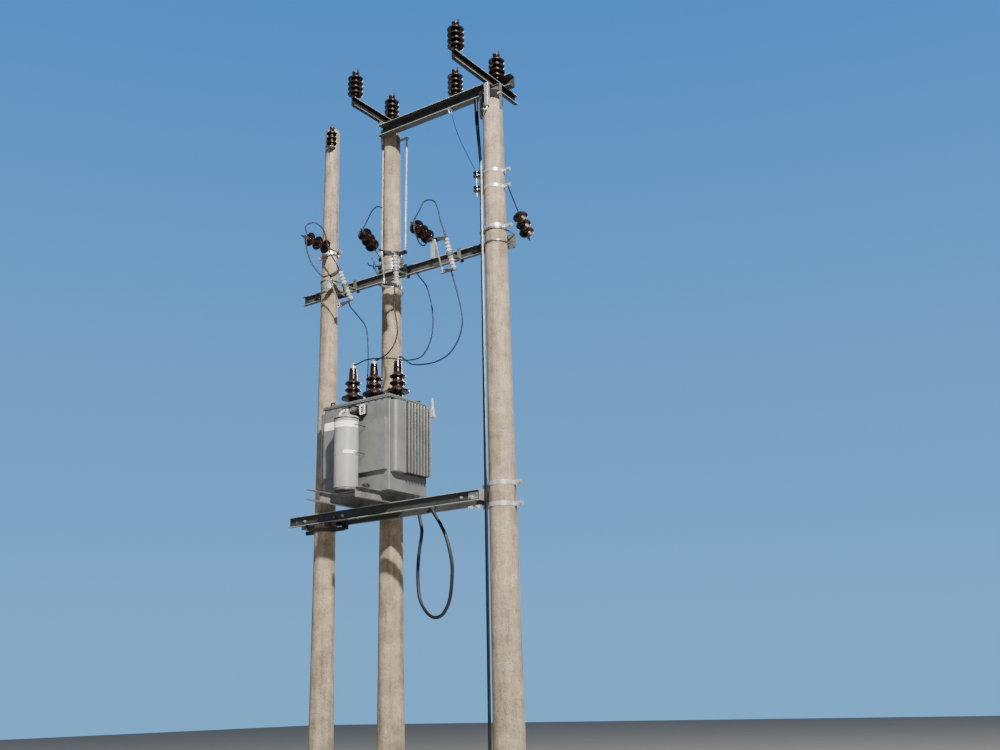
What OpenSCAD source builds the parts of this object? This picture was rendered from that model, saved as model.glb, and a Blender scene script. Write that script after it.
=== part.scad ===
// Three pole transformer substation: three round concrete poles carry a steel platform with a
// three phase transformer, a crossarm with three drop-out fuse cutouts, and the line insulators.
// The origin is the centre of the right pole's foot, at ground level. X runs along the row of
// poles towards the right pole, Y runs away from the viewer along the line, Z is up.

/* [Poles] */
// Distance along the row from the right pole to the left pole
left_pole_span = 2700; // [2650:10:2900]
// Distance along the row from the right pole to the middle pole
middle_pole_span = 2060; // [2000:10:2100]
// Distance that the middle pole stands behind the row
middle_pole_setback = 520; // [510:5:640]
// Height of the left pole above the ground
left_pole_h = 9200; // [8900:10:9500]
// Height of the middle pole's top above the right pole's top
middle_pole_rise = 420; // [400:5:500]
// Height of the right pole above the ground
right_pole_h = 8830; // [8650:10:9050]
// Height of the saddle over the right pole's top
right_pole_gap = 90; // [60:5:120]
// Diameter of the left pole at its top
left_pole_top_d = 190; // [170:1:200]
// Diameter of the middle pole at its top
middle_pole_top_d = 224; // [200:1:230]
// Diameter of the right pole at its top
right_pole_top_d = 242; // [222:1:252]
// Length of pole over which its diameter grows by one
pole_taper = 75; // [70:1:90]

/* [Steel sections] */
// Depth of the large channel beams
beam_depth = 120; // [100:1:140]
// Width of a large channel's flanges
beam_flange = 55; // [45:1:60]
// Thickness of a large channel's web and flanges
beam_t = 7; // [5:0.5:9]
// Depth of the small channels of the top arms
arm_depth = 120; // [100:1:125]
// Width of a small channel's flanges
arm_flange = 56; // [50:1:60]
// Thickness of a small channel's web and flanges
arm_t = 6; // [4:0.5:7]
// Depth of the beam between the two top arms
top_beam_depth = 160; // [140:5:170]
// Width of that beam's flanges
top_beam_flange = 110; // [90:2:114]
// Diameter of the structural bolts
bolt_d = 16; // [12:1:20]
// Thickness of the bands round the poles
band_t = 6; // [4:0.5:8]

/* [Platform] */
// Height of the top of the platform's two long beams
platform_z = 3830; // [3700:10:3950]
// Length of the platform beams past the left pole's axis
platform_overhang = 470; // [400:10:600]
// Distance from the right pole's axis to the beams' right end
platform_end_gap = 195; // [190:1:210]
// Distance from the row to the front end of the long cross channel
cross_long_reach = 990; // [900:10:1100]
// Distance from the row to the front end of the short cross channel
cross_short_reach = 750; // [720:10:900]
// Distance from the row to the rear end of the cross channels
cross_rear_reach = 340; // [300:5:350]

/* [Crossarm] */
// Height of the top of the cutout crossarm
crossarm_z = 6935; // [6800:5:7000]
// Length of the crossarm past the left pole's axis
crossarm_overhang = 630; // [500:10:700]
// Length of the crossarm past the right pole's axis
crossarm_right_end = 60; // [40:5:100]

/* [Transformer] */
// Length of the tank along the row
tank_w = 1050; // [950:10:1060]
// Depth of the tank along the line
tank_d = 715; // [600:5:720]
// Height of the tank from its base to the underside of its cover
tank_h = 1135; // [1000:5:1200]
// Distance from the left pole's axis to the tank's left face
tank_left_gap = 300; // [290:5:350]
// Distance from the row forward to the tank's front face
tank_front = 365; // [365:5:400]
// Thickness of the cover plate
cover_t = 20; // [10:1:30]
// Length of each cooling fin out of the tank's end
fin_l = 130; // [80:5:150]
// Thickness of a cooling fin
fin_t = 14; // [8:1:20]
// Width of the wide duct in front of the fins
duct_w = 165; // [120:5:180]
// Number of cooling fins on each end of the tank, behind the duct
fin_count = 8; // [5:1:10]
// Distance between the last fin and the tank's rear wall
fin_margin = 82; // [60:2:120]
// Distance between the high voltage bushings
bushing_pitch = 370; // [355:5:385]
// Height of a high voltage bushing over the cover
bushing_h = 560; // [500:10:620]
// Diameter of a high voltage bushing's lowest shed
bushing_shed_d = 290; // [260:2:300]

/* [Canister] */
// Diameter of the canister in front of the tank
canister_d = 290; // [260:5:300]
// Height of the canister's straight wall
canister_h = 885; // [800:5:950]

/* [Fuse cutouts] */
// Distance from the left pole's axis to the left cutout
cutout_left_gap = 330; // [320:5:360]
// Distance along the row from the right pole's axis to the right cutout
cutout_right = 650; // [600:10:700]
// Length of a cutout's insulator
cutout_l = 440; // [400:5:480]
// Distance between the insulator's axis and the fuse tube's axis
cutout_reach = 250; // [220:5:280]
// Diameter of a fuse tube
fuse_tube_d = 26; // [20:1:34]

/* [Insulators] */
// Diameter of the sheds of a line post insulator
post_shed_d = 205; // [180:1:240]
// Height of a line post insulator over its base
post_h = 350; // [300:5:380]
// Diameter of the discs of a strain insulator
disc_d = 190; // [170:1:200]
// Distance between the discs of a strain insulator
disc_pitch = 140; // [130:1:150]

/* [Hidden] */
$fn = 48;

seat = 0.3;
concrete = "#b3a493";
steel = "#8f959a";
dark_steel = "#4d5256";
tank_grey = "#9aa3a5";
brown_porcelain = "#3b2420";
light_polymer = "#b9bec2";
black_cable = "#17181a";

middle_pole_h = right_pole_h + middle_pole_rise;
right_saddle_z = right_pole_h + right_pole_gap;
left_pole = [-left_pole_span, 0];
middle_pole = [-middle_pole_span, middle_pole_setback];
right_pole = [0, 0];

function left_pole_r(z) = (left_pole_top_d + (left_pole_h - z) / pole_taper) / 2;
function middle_pole_r(z) = (middle_pole_top_d + (middle_pole_h - z) / pole_taper) / 2;
function right_pole_r(z) = (right_pole_top_d + (right_pole_h - z) / pole_taper) / 2;

beam_bottom = platform_z - beam_depth;
platform_web = left_pole_r(beam_bottom) + seat;
cross_top = platform_z + seat + beam_depth;
tank_base = cross_top;
tank_left = left_pole_span - tank_left_gap;
tank_right = tank_left - tank_w;
tank_mid = (tank_right + tank_left) / 2;
tank_rear = tank_d - tank_front;
cover_z = tank_base + tank_h + cover_t;
panel_depth = 45;
panel_gap = 12;
crossarm_bottom = crossarm_z - beam_depth;
crossarm_tip = right_pole_r(crossarm_bottom) + seat;
crossarm_web = crossarm_tip + beam_flange;
cross_long_x = -tank_right - 680;
cross_short_x = -tank_right - 130;
canister_x = -tank_right - 493;
canister_y = -tank_front - panel_depth - panel_gap - canister_d / 2;
plate_t = 6;
cutout_y = -60;
cutout_z = crossarm_z - 110;
cutout_left = left_pole_span - cutout_left_gap;
cutout_xs = [-cutout_left, -(cutout_left + cutout_right) / 2, -cutout_right];
// Lean of each cutout's top towards the front, from left to right
cutout_lean = [34, 8, 23];

module pole(top_d, h) {
    cylinder(h = h, d1 = top_d + h / pole_taper, d2 = top_d, $fn = 96);
}

// Channel laid along X with the back of its web on the XZ plane and its flanges towards -Y
module channel(length, depth, flange, t) {
    rotate([90, 0, 90])
        linear_extrude(length)
            polygon([[0, 0], [-flange, 0], [-flange, t], [-t, t],
                     [-t, depth - t], [-flange, depth - t], [-flange, depth], [0, depth]]);
}

module large_channel(length) {
    channel(length, beam_depth, beam_flange, beam_t);
}

module small_channel(length) {
    channel(length, arm_depth, arm_flange, arm_t);
}

// Bolt along Y whose head and nut close on a pack of the given thickness
module bolt(grip, d = bolt_d) {
    head = d * 0.7;
    nut = d * 0.8;
    tail = d * 0.5;
    translate([0, -grip / 2 - seat - head, 0]) rotate([-90, 0, 0]) {
        cylinder(h = head + grip + 2 * seat + nut + tail, d = d);
        cylinder(h = head, d = d * 1.9, $fn = 6);
        translate([0, 0, head + grip + 2 * seat]) cylinder(h = nut, d = d * 1.9, $fn = 6);
    }
}

// Clamp band round a pole: two half rings whose ears are drawn together by bolts along Y
module pole_band(r, w, t, left_ear, right_ear) {
    ears = [left_ear, right_ear];
    difference() {
        union() {
            cylinder(h = w, r = r + t, $fn = 96);
            for (side = [0, 1]) mirror([1 - side, 0, 0])
                translate([0, -band_gap / 2 - t, 0]) cube([r + ears[side], band_gap + 2 * t, w]);
        }
        translate([0, 0, -1]) cylinder(h = w + 2, r = r, $fn = 96);
        for (side = [0, 1]) mirror([1 - side, 0, 0])
            translate([r - t, -band_gap / 2, -1]) cube([ears[side] + t + 1, band_gap, w + 2]);
    }
    for (side = [0, 1]) mirror([1 - side, 0, 0])
        translate([r + ears[side] - bolt_d, 0, w / 2]) bolt(band_gap + 2 * t);
}

// Disc of a strain insulator along X, with a cap behind it and a pin of the given length before it
module insulator_disc(pin) {
    r = disc_d / 2;
    rotate([0, 90, 0])
        rotate_extrude($fn = 64)
            polygon([[0, -disc_cap], [r * 0.36, -disc_cap], [r * 0.44, -disc_cap * 0.83],
                     [r * 0.46, -disc_cap * 0.4], [r * 0.7, -8], [r - 6, 8], [r, 16], [r - 3, 24],
                     [r * 0.72, 16], [r * 0.66, 28], [r * 0.6, 14], [r * 0.42, 12], [r * 0.36, 24],
                     [16, 20], [13, pin], [0, pin]]);
}

disc_cap = 46;
last_pin = 40;
string_z = 7345;
mid_band_z = [right_saddle_z - 1210, right_saddle_z - 1420, right_saddle_z - 1945];
mid_band_w = 40;
mid_band_t = 5;
band_w = 50;
band_gap = 10;
band_ear = 100;
lug_at = 45;
lug_t = 10;
ball_d = 26;
strap_h = 300;
strap_x = (cutout_xs[1] + cutout_xs[2]) / 2 - 30;
// Each string: middle of its lug, side of the ear, turn about Z, fall, distance to the first disc
strings = [
    [[left_pole.x + left_pole_r(string_z) + lug_at, -band_gap / 2 - band_t - seat, string_z],
     -1, -92, -2.5, 204],
    [[middle_pole.x - middle_pole_r(string_z) - lug_at,
      middle_pole.y - band_gap / 2 - band_t - seat, string_z], -1, -69, -8, 335],
    [[strap_x, crossarm_web, crossarm_z + strap_h - 30], -1, -80.5, -4, 97],
    [[right_pole_r(mid_band_z[1]) + lug_at, band_gap / 2 + mid_band_t + seat,
      mid_band_z[1] + mid_band_w / 2], 1, 107, 20.5, 522]
];

function turned(v, a, b) = let (x = v.x * cos(b) + v.z * sin(b), z = -v.x * sin(b) + v.z * cos(b))
    [x * cos(a) - v.y * sin(a), x * sin(a) + v.y * cos(a), z];
function string_start(s) = s[0] + [0, s[1] * (lug_t + ball_d / 3), 0];
// Point of a string's own frame, whose X runs along the string
function string_point(s, v) = string_start(s) + turned(v, s[2], s[3]);
function clamp_start(s) = s[4] + 2 * disc_pitch + last_pin + seat;

module place_string(s) {
    translate(string_start(s)) rotate([0, s[3], s[2]]) children();
}

// String of three discs along X, the first at the given distance from the ball
module strain_string(first) {
    for (i = [0 : 2])
        translate([first + i * disc_pitch, 0, 0])
            insulator_disc(i == 2 ? last_pin : disc_pitch - disc_cap - seat);
}

clamp_block = [80, 26, 40];

// Ball eye and rod at the pole's end of a string, and the dead end clamp at the other
module strain_string_fittings(s) {
    sphere(d = ball_d);
    rotate([0, 90, 0]) cylinder(h = s[4] - disc_cap - seat, d = 16);
    translate([clamp_start(s), -clamp_block.y / 2, -clamp_block.z / 2]) cube(clamp_block);
    translate([clamp_start(s) + clamp_block.x - 1, 0, 0]) rotate([0, 90, 0])
        cylinder(h = 50, d1 = 26, d2 = 18);
}

module string_lug(s) {
    translate(s[0] + [-18, s[1] > 0 ? 0 : -lug_t, -18]) cube([36, lug_t, 36]);
}

module line_post(shed_d, h, sheds) {
    r = shed_d / 2;
    step = h / (sheds + 0.6);
    rotate_extrude($fn = 64)
        polygon(concat(
            [[0, 0], [r * 0.55, 0], [r * 0.55, step * 0.24]],
            [for (i = [0 : sheds - 1]) each [
                [r * 0.5, step * (i + 0.44)], [r * 0.92, step * (i + 0.3)], [r, step * (i + 0.37)],
                [r, step * (i + 0.5)], [r * 0.9, step * (i + 0.62)], [r * 0.62, step * (i + 0.84)],
                [r * 0.5, step * (i + 1)]]],
            [[r * 0.42, h - 14], [r * 0.42, h], [0, h]]));
}

module left_pole() {
    color(concrete) translate(left_pole) pole(left_pole_top_d, left_pole_h);
}

module middle_pole() {
    color(concrete) translate(middle_pole) pole(middle_pole_top_d, middle_pole_h);
}

module right_pole() {
    color(concrete) translate(right_pole) pole(right_pole_top_d, right_pole_h);
}

platform_left = -left_pole_span - platform_overhang;
platform_l = left_pole_span + platform_overhang - platform_end_gap;

// Channel with a row of bolt holes through its web from its left end
module drilled_channel(length, holes) {
    difference() {
        large_channel(length);
        for (x = holes)
            translate([x, 1, beam_depth / 2]) rotate([90, 0, 0]) cylinder(h = beam_t + 2, d = hole_d);
    }
}

hole_d = 20;

module platform_beams() {
    color(steel)
        for (rear = [0, 1])
            mirror([0, rear, 0])
                translate([platform_left, -platform_web, beam_bottom])
                    drilled_channel(platform_l, [110, 260, 465, 620, 745, 895]);
}

platform_band_z = [platform_z + 30, beam_bottom - 38 - band_w];

// Plate across the beams' right ends, held between the ears of the two bands on the right pole,
// and the block on the rear beam that takes the hanging cable's end
module platform_end_bracket() {
    w = platform_web + beam_flange;
    low = platform_band_z[1] + band_w + seat;
    color(steel) {
        translate([-platform_end_gap + seat, -w, beam_bottom]) cube([8, 2 * w, beam_depth]);
        translate([-platform_end_gap + seat, -20, low]) cube([8, 40, platform_band_z[0] - seat - low]);
        translate([clip_at.x - 32, clip_at.y - 32, clip_at.z])
            cube([64, platform_web - seat - clip_at.y + 32, 36]);
    }
}

web_cut = 240;

module cross_channel(x, reach) {
    translate([x - beam_flange, -reach, platform_z + seat]) rotate([0, 0, 90])
        large_channel(reach + cross_rear_reach);
}

// The two channels under the tank, which open to the right, and the two bars across them that
// the canister stands on; the long channel's web is cut back at its front end
module cross_channels() {
    bar = 36;
    color(steel) {
        difference() {
            cross_channel(cross_long_x, cross_long_reach);
            translate([cross_long_x - beam_flange - 1, -cross_long_reach - 1, platform_z + seat + beam_t])
                cube([beam_t + 2, web_cut + 1, beam_depth - 2 * beam_t]);
        }
        cross_channel(cross_short_x, cross_short_reach);
        for (y = [canister_y + 10, canister_y + canister_d / 2 - bar])
            translate([cross_long_x - beam_flange, y, cross_top + seat])
                cube([cross_short_x - cross_long_x + beam_flange, bar, plate_t]);
    }
}

left_ear = 185;
right_ear = 110;

collar_drop = 45;

// Collar that carries the beams on the left pole, with a post on each ear up to the beams, and
// the two bands that hold the end bracket on the right pole
module platform_bands() {
    low = beam_bottom - band_w - collar_drop - seat;
    r = left_pole_r(low) + seat;
    color(steel) {
        translate([left_pole.x, 0, low]) {
            pole_band(r, band_w, band_t, left_ear, left_ear);
            for (side = [0, 1]) mirror([side, 0, 0])
                translate([r + 30, -platform_web - beam_flange, band_w - 8]) {
                    cube([60, 2 * (platform_web + beam_flange), 8]);
                    for (y = [0, 2 * platform_web + beam_flange])
                        translate([0, y, 0]) cube([60, beam_flange, 8 + collar_drop]);
                }
        }
        for (z = platform_band_z)
            translate([0, 0, z]) pole_band(right_pole_r(z) + seat, band_w, band_t, right_ear, right_ear);
    }
}

module cutout_crossarm() {
    color(steel)
        translate([-left_pole_span - crossarm_overhang, crossarm_web, crossarm_bottom])
            drilled_channel(left_pole_span + crossarm_overhang + crossarm_right_end, [145, 265]);
}

// U bolt round a pole, its legs through a plate behind the crossarm's web
module u_clamp(r, at, reach) {
    d = bolt_d;
    translate(at) {
        difference() {
            cylinder(h = d, r = r + d, $fn = 96);
            translate([0, 0, -1]) cylinder(h = d + 2, r = r, $fn = 96);
            translate([-2 * r, 0, -1]) cube([4 * r, 2 * r, d + 2]);
        }
        for (side = [-1, 1])
            translate([side * (r + d / 2), 0, d / 2]) rotate([-90, 0, 0]) cylinder(h = reach, d = d);
    }
}

clamp_z = crossarm_z + 12;

shell_w = 75;
shell_z = [crossarm_z + 165, crossarm_z + 255];
shell_ears = [110, 70];
standoff_w = 60;
standoff_z = crossarm_bottom + (beam_depth - standoff_w) / 2;
standoff_foot = [110, 8, 90];

// U bolts and back plates at the two poles of the row, the band whose long front ear holds the
// crossarm's back at the middle pole, and that pole's two wide bands
module crossarm_clamps() {
    r = middle_pole_r(standoff_z) + seat;
    back = crossarm_web + seat;
    color(steel) {
        for (z = [clamp_z, crossarm_bottom - 12 - bolt_d]) {
            u_clamp(left_pole_r(z) + seat, [left_pole.x, 0, z], crossarm_web + 20);
            u_clamp(right_pole_r(z) + seat, [0, 0, z], crossarm_web + 20);
        }
        for (p = [[left_pole.x, left_pole_r(clamp_z)], [0, right_pole_r(clamp_z)]])
            translate([p[0] - p[1] - 20, crossarm_web + seat, crossarm_bottom - 34])
                cube([2 * p[1] + 40, 6, beam_depth + 68]);
        for (z = shell_z)
            translate([middle_pole.x, middle_pole.y, z])
                pole_band(middle_pole_r(z) + seat, shell_w, band_t, shell_ears[0], shell_ears[1]);
        translate([middle_pole.x, middle_pole.y, standoff_z]) rotate([0, 0, 90])
            pole_band(r, standoff_w, band_t, middle_pole.y - r - back - 4, band_ear);
        translate([middle_pole.x - standoff_foot.x / 2, back,
                   crossarm_bottom + (beam_depth - standoff_foot.z) / 2]) cube(standoff_foot);
    }
}

saddle_t = 6;
right_arm_top = right_saddle_z + saddle_t + arm_depth + 2 * seat;
middle_arm_top = middle_pole_h + saddle_t + arm_depth + 2 * seat;
top_beam_z = right_arm_top + seat;
top_beam_y = 355;
top_beam_left = middle_pole.x - arm_flange / 2;
top_beam_right = 110;

module top_beam() {
    color(steel)
        translate([top_beam_left, top_beam_y, top_beam_z])
            channel(top_beam_right - top_beam_left, top_beam_depth, top_beam_flange, beam_t);
}

middle_arm_front = 815;
middle_arm_rear = 110;
right_arm_front = 800;
right_arm_rear = 550;

module top_arm(p, z, front, rear) {
    translate([p.x - arm_flange / 2, p.y - front, z + saddle_t + 2 * seat])
        rotate([0, 0, 90]) small_channel(front + rear);
}

module top_arms() {
    color(steel) {
        top_arm(middle_pole, middle_pole_h, middle_arm_front, middle_arm_rear);
        top_arm(right_pole, right_saddle_z, right_arm_front, right_arm_rear);
    }
}

// Strap bent over a pole's top, its two legs down the pole's sides
module pole_saddle(p, h, r, drop) {
    leg = r + 2 * seat;
    translate([p.x, p.y, h]) {
        translate([-leg - saddle_t, -25, seat]) cube([2 * (leg + saddle_t), 50, saddle_t]);
        for (side = [-1, 1])
            translate([side < 0 ? -leg - saddle_t : leg, -25, -drop])
                cube([saddle_t, 50, drop + seat + saddle_t]);
    }
}

upright = 60;
right_drop = 340;
middle_drop = 310;
pipe_arm_z = middle_pole_h - 220;
bracket_turn = -50;
bracket_z = left_pole_h - 520;

// Angle iron standing up along X and Y, its corner at the origin
module angle_iron(h) {
    cube([6, upright, h]);
    cube([upright, 6, h]);
}

module top_brackets() {
    right_leg = right_pole_r(right_saddle_z - right_drop) + 2 * seat;
    web_t = 6;
    middle_leg = middle_pole_r(middle_pole_h - middle_drop) + 2 * seat;
    hanger_low = top_beam_z + top_beam_depth + seat;
    a = left_pole_r(bracket_z) + seat;
    color(dark_steel) {
        pole_saddle(right_pole, right_saddle_z, right_leg - 2 * seat, right_drop);
        translate([-right_leg - 1, -web_t / 2, right_pole_h + seat])
            cube([2 * right_leg + 2, web_t, right_pole_gap + 1]);
        translate([-right_leg - saddle_t - upright, -20, right_saddle_z - 375])
            angle_iron(375);
        translate([-right_leg - saddle_t - 4, -20, right_saddle_z - 375]) cube([10, 50, 60]);
        pole_saddle(middle_pole, middle_pole_h, middle_leg - 2 * seat, middle_drop);
        translate([middle_pole.x - middle_leg - saddle_t - upright, middle_pole.y - 20, middle_pole_h - 270])
            angle_iron(210);
        translate([middle_pole.x + middle_leg, middle_pole.y - 25, pipe_arm_z])
            cube([pipe_arm_x - middle_leg + 20, 50, 8]);
        translate([middle_pole.x - arm_flange / 2, top_beam_y - top_beam_flange, hanger_low])
            cube([arm_flange, top_beam_flange, middle_pole_h + saddle_t + seat - hanger_low]);
        translate([left_pole.x, 0, 0]) rotate([0, 0, bracket_turn]) {
            translate([a, -25, bracket_z]) cube([6, 50, 200]);
            translate([a, -25, bracket_z + 192]) cube([110, 50, 8]);
            translate([a + 75, 0, bracket_z + 198]) cylinder(h = 20, d = 22);
        }
    }
}

// Feet of the line posts on the two top arms and on the top beam
function post_feet() = [
    [middle_pole.x, middle_pole.y - middle_arm_front + 45, middle_arm_top],
    [middle_pole.x, middle_pole.y - 10, middle_arm_top],
    [0, 50 - right_arm_front, right_arm_top],
    [0, 115, right_arm_top],
    [-790, top_beam_y - top_beam_flange / 2, top_beam_z + top_beam_depth]
];
post_lift = 34;
small_post_d = 140;
small_post_h = 262;

// The five line posts, and the smaller one on the left pole's bracket
module post_insulators() {
    color(brown_porcelain) {
        for (p = post_feet()) translate([p.x, p.y, p.z + post_lift]) line_post(post_shed_d, post_h, 4);
        translate([left_pole.x, 0, 0]) rotate([0, 0, bracket_turn])
            translate([left_pole_r(bracket_z) + seat + 75, 0, bracket_z + 218 + seat])
                line_post(small_post_d, small_post_h, 3);
    }
}

// Clamp on a line post's top: a cap with two prongs that stand beside the wire
module post_clamp(d) {
    cylinder(h = 18, d = d);
    for (side = [-1, 1])
        translate([0, side * d * 0.36, 17]) rotate([-side * 20, 0, 0])
            translate([-9, -5, -6]) cube([18, 10, 38]);
}

// Pins under the line posts and clamps on them
module post_insulator_fittings() {
    color(dark_steel) {
        for (p = post_feet()) {
            translate([p.x, p.y, p.z + seat]) cylinder(h = post_lift - 2 * seat, d = 44);
            translate([p.x, p.y, p.z + post_lift + post_h + seat]) rotate([0, 0, 90]) post_clamp(92);
        }
        translate([left_pole.x, 0, 0]) rotate([0, 0, bracket_turn])
            translate([left_pole_r(bracket_z) + seat + 75, 0, bracket_z + 218 + small_post_h + 2 * seat])
                rotate([0, 0, 90]) post_clamp(64);
    }
}

module strain_insulators() {
    color(brown_porcelain) for (s = strings) place_string(s) strain_string(s[4]);
}

module strain_fittings() {
    color(dark_steel)
        for (s = strings) {
            place_string(s) strain_string_fittings(s);
            string_lug(s);
        }
}

spool_d = 84;
spool_h = 72;
spool_zs = [mid_band_z[1] + 56, mid_band_z[0] + 41];
spool_x = right_pole_r(spool_zs[0]) + 128;
rack_x = right_pole_r(spool_zs[0]) + 20;
rack_y = -band_gap / 2 - mid_band_t - 6;

// Bands of the strings, the plate behind the crossarm for the third string, and on the right
// pole the three bands with the strap and the rod that carry the spools
module strain_bands() {
    low = mid_band_z[1] - 10;
    high = spool_zs[1] + spool_h + 8;
    color(steel) {
        translate([left_pole.x, left_pole.y, string_z - band_w / 2])
            pole_band(left_pole_r(string_z - band_w / 2) + seat, band_w, band_t, band_ear, band_ear);
        translate([middle_pole.x, middle_pole.y, string_z - band_w / 2])
            pole_band(middle_pole_r(string_z - band_w / 2) + seat, band_w, band_t, band_ear,
                pipe_foot_x + 20 - middle_pole_r(string_z));
        translate([strap_x - 30, crossarm_web + seat, crossarm_bottom])
            cube([60, 8, beam_depth + strap_h]);
        for (z = mid_band_z)
            translate([0, 0, z])
                pole_band(right_pole_r(z) + seat, mid_band_w, mid_band_t, band_ear, band_ear);
        translate([-rack_x - 30, rack_y, low]) cube([30, 6.5, high - low]);
        for (z = [low, (low + high) / 2, high - 6])
            translate([-spool_x - 12, rack_y, z]) cube([spool_x + 12 - rack_x, 12, 6]);
        translate([-spool_x, rack_y + 6, low]) cylinder(h = high - low, d = 10);
        for (z = spool_zs)
            translate([-spool_x, rack_y + 6, z - 6 - seat]) cylinder(h = 6, d = 26);
    }
}

module spool_insulators() {
    r = spool_d / 2;
    color(brown_porcelain)
        for (z = spool_zs)
            translate([-spool_x, rack_y + 6, z])
                difference() {
                    rotate_extrude($fn = 48)
                        polygon([[0, 0], [r - 6, 0], [r, 8], [r, 18], [r * 0.6, 28],
                                 [r * 0.6, spool_h - 28], [r, spool_h - 18], [r, spool_h - 8],
                                 [r - 6, spool_h], [0, spool_h]]);
                    translate([0, 0, -1]) cylinder(h = spool_h + 2, d = 11);
                }
}

// Rectangle whose corners are rounded
module rounded_rectangle(w, d, r) {
    translate([r, 0]) square([w - 2 * r, d]);
    translate([0, r]) square([w, d - 2 * r]);
    for (x = [r, w - r], y = [r, d - r]) translate([x, y]) circle(r);
}

corner_r = 12;

module transformer_tank() {
    color(tank_grey)
        translate([-tank_left, -tank_front, tank_base + seat])
            linear_extrude(tank_h - seat) rounded_rectangle(tank_w, tank_d, corner_r);
}

module tank_cover() {
    lip = 15;
    color(tank_grey)
        translate([-tank_left - lip, -tank_front - lip, tank_base + tank_h + seat])
            linear_extrude(cover_t - seat) rounded_rectangle(tank_w + 2 * lip, tank_d + lip, corner_r);
}

fin_low = tank_base + 210;
fin_high = tank_base + tank_h - 55;

fin_pitch = (tank_d - corner_r - duct_w - fin_margin) / fin_count;

// Fin along X from the wall, its outer edge rounded
module fin(w, r) {
    linear_extrude(fin_high - fin_low) {
        square([fin_l - r, w]);
        translate([0, r]) square([fin_l, w - 2 * r]);
        for (y = [r, w - r]) translate([fin_l - r, y]) circle(r);
    }
}

// On each end of the tank the wide duct and the row of fins behind it
module end_fins() {
    color(tank_grey)
        for (side = [0, 1])
            translate([side ? -tank_left - seat : -tank_right + seat, corner_r - tank_front, fin_low])
                mirror([side, 0, 0]) {
                    fin(duct_w, corner_r);
                    for (i = [1 : fin_count])
                        translate([0, duct_w - fin_t + i * fin_pitch, 0]) fin(fin_t, fin_t * 0.45);
                }
}

// Raised cover plate on the tank's front, behind the canister
module front_panel() {
    edge = 38;
    color(tank_grey)
        translate([-tank_left + edge, -tank_front - panel_depth, tank_base + 240])
            cube([tank_w - 2 * edge + panel_gap, panel_depth - seat, 630]);
}

// Lifting lugs at the cover's corners, drain valve, small relay box and gland on the cover
module tank_fittings() {
    lug = [70, 12, 60];
    color(tank_grey)
        for (x = [-tank_left + 60, -tank_right - 60 - lug.x], y = [-tank_front + 40, tank_rear - 60])
            translate([x, y, cover_z + seat]) difference() {
                cube(lug);
                translate([lug.x / 2, -1, lug.z * 0.6]) rotate([-90, 0, 0]) cylinder(h = lug.y + 2, d = 28);
            }
    color(dark_steel) {
        translate([-tank_right - 330, -tank_front - seat, tank_base + 70]) rotate([90, 0, 0]) {
            cylinder(h = 14, d = 74);
            cylinder(h = 62, d = 40);
            translate([0, 0, 50]) cylinder(h = 26, d = 58, $fn = 6);
        }
        translate([-tank_right - 414, -tank_front - seat - 50, tank_base + tank_h - 177])
            cube([70, 50, 112]);
        translate([gland_x, gland_y, cover_z + seat]) cylinder(h = 30, d = 46, $fn = 6);
        translate([gland_x, gland_y, cover_z + seat]) cylinder(h = 45, d = 30);
    }
}

module hv_bushing() {
    h = bushing_h;
    r = bushing_shed_d / 2;
    rotate_extrude($fn = 64)
        polygon([[0, 0], [r * 0.57, 0], [r * 0.57, h * 0.04], [r * 0.43, h * 0.06],
                 [r * 0.41, h * 0.24], [r, h * 0.275], [r, h * 0.31], [r * 0.5, h * 0.39],
                 [r * 0.46, h * 0.43], [r * 0.7, h * 0.47], [r * 0.7, h * 0.495],
                 [r * 0.46, h * 0.55], [r * 0.44, h * 0.59], [r * 0.7, h * 0.63],
                 [r * 0.7, h * 0.655], [r * 0.43, h * 0.71], [r * 0.38, h * 0.74],
                 [r * 0.36, h * 0.86], [r * 0.31, h], [0, h]]);
}

// Feet of the three high voltage bushings on the cover
bushing_feet = [
    [-tank_mid - bushing_pitch, -20],
    [-tank_mid - 35, 0],
    [-tank_mid - 95 + bushing_pitch, 90]
];
cap_h = 30;
terminal = 34;
gland_x = -tank_mid - 220;
gland_y = 60;

module hv_bushings() {
    color(brown_porcelain)
        for (p = bushing_feet) translate([p.x, p.y, cover_z + seat]) hv_bushing();
}

// Point on the right face of a bushing's terminal block
function bushing_terminal(i) = [[bushing_feet[i].x + terminal / 2 + seat, bushing_feet[i].y,
    cover_z + bushing_h + 2 * seat + cap_h + terminal / 2], [1, 0, 0]];

// Cap on each bushing, with the block that clamps the lead
module hv_bushing_terminals() {
    color(steel)
        for (p = bushing_feet) translate([p.x, p.y, cover_z + bushing_h + 2 * seat]) {
            cylinder(h = cap_h, d1 = 74, d2 = 60);
            translate([-terminal / 2, -terminal / 2, cap_h - 1])
                cube([terminal, terminal, terminal + 1]);
            translate([0, 0, cap_h + terminal - 1]) cylinder(h = 13, d = 26, $fn = 6);
        }
}

module lv_bushings() {
    color(brown_porcelain)
        for (i = [0 : 3]) translate([-tank_mid - 330 + i * 180, tank_rear - 60, cover_z + seat]) {
            cylinder(h = 110, d1 = 70, d2 = 44);
            cylinder(h = 140, d = 16);
        }
}

// Cone on a small shelf behind the tank's rear right corner
module corner_vent() {
    shelf = [150, 80, 8];
    z = tank_base + tank_h - 140;
    color(light_polymer)
        translate([-tank_right - 50, tank_rear + seat, z]) {
            cube(shelf);
            cube([shelf.x, 8, 90]);
            translate([shelf.x - 42, shelf.y - 38, shelf.z - 1]) {
                cylinder(h = 26, d = 66);
                cylinder(h = 245, d1 = 58, d2 = 22);
            }
        }
}

canister_base = cross_top + plate_t + 2 * seat;
lid_h = 36;

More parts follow.
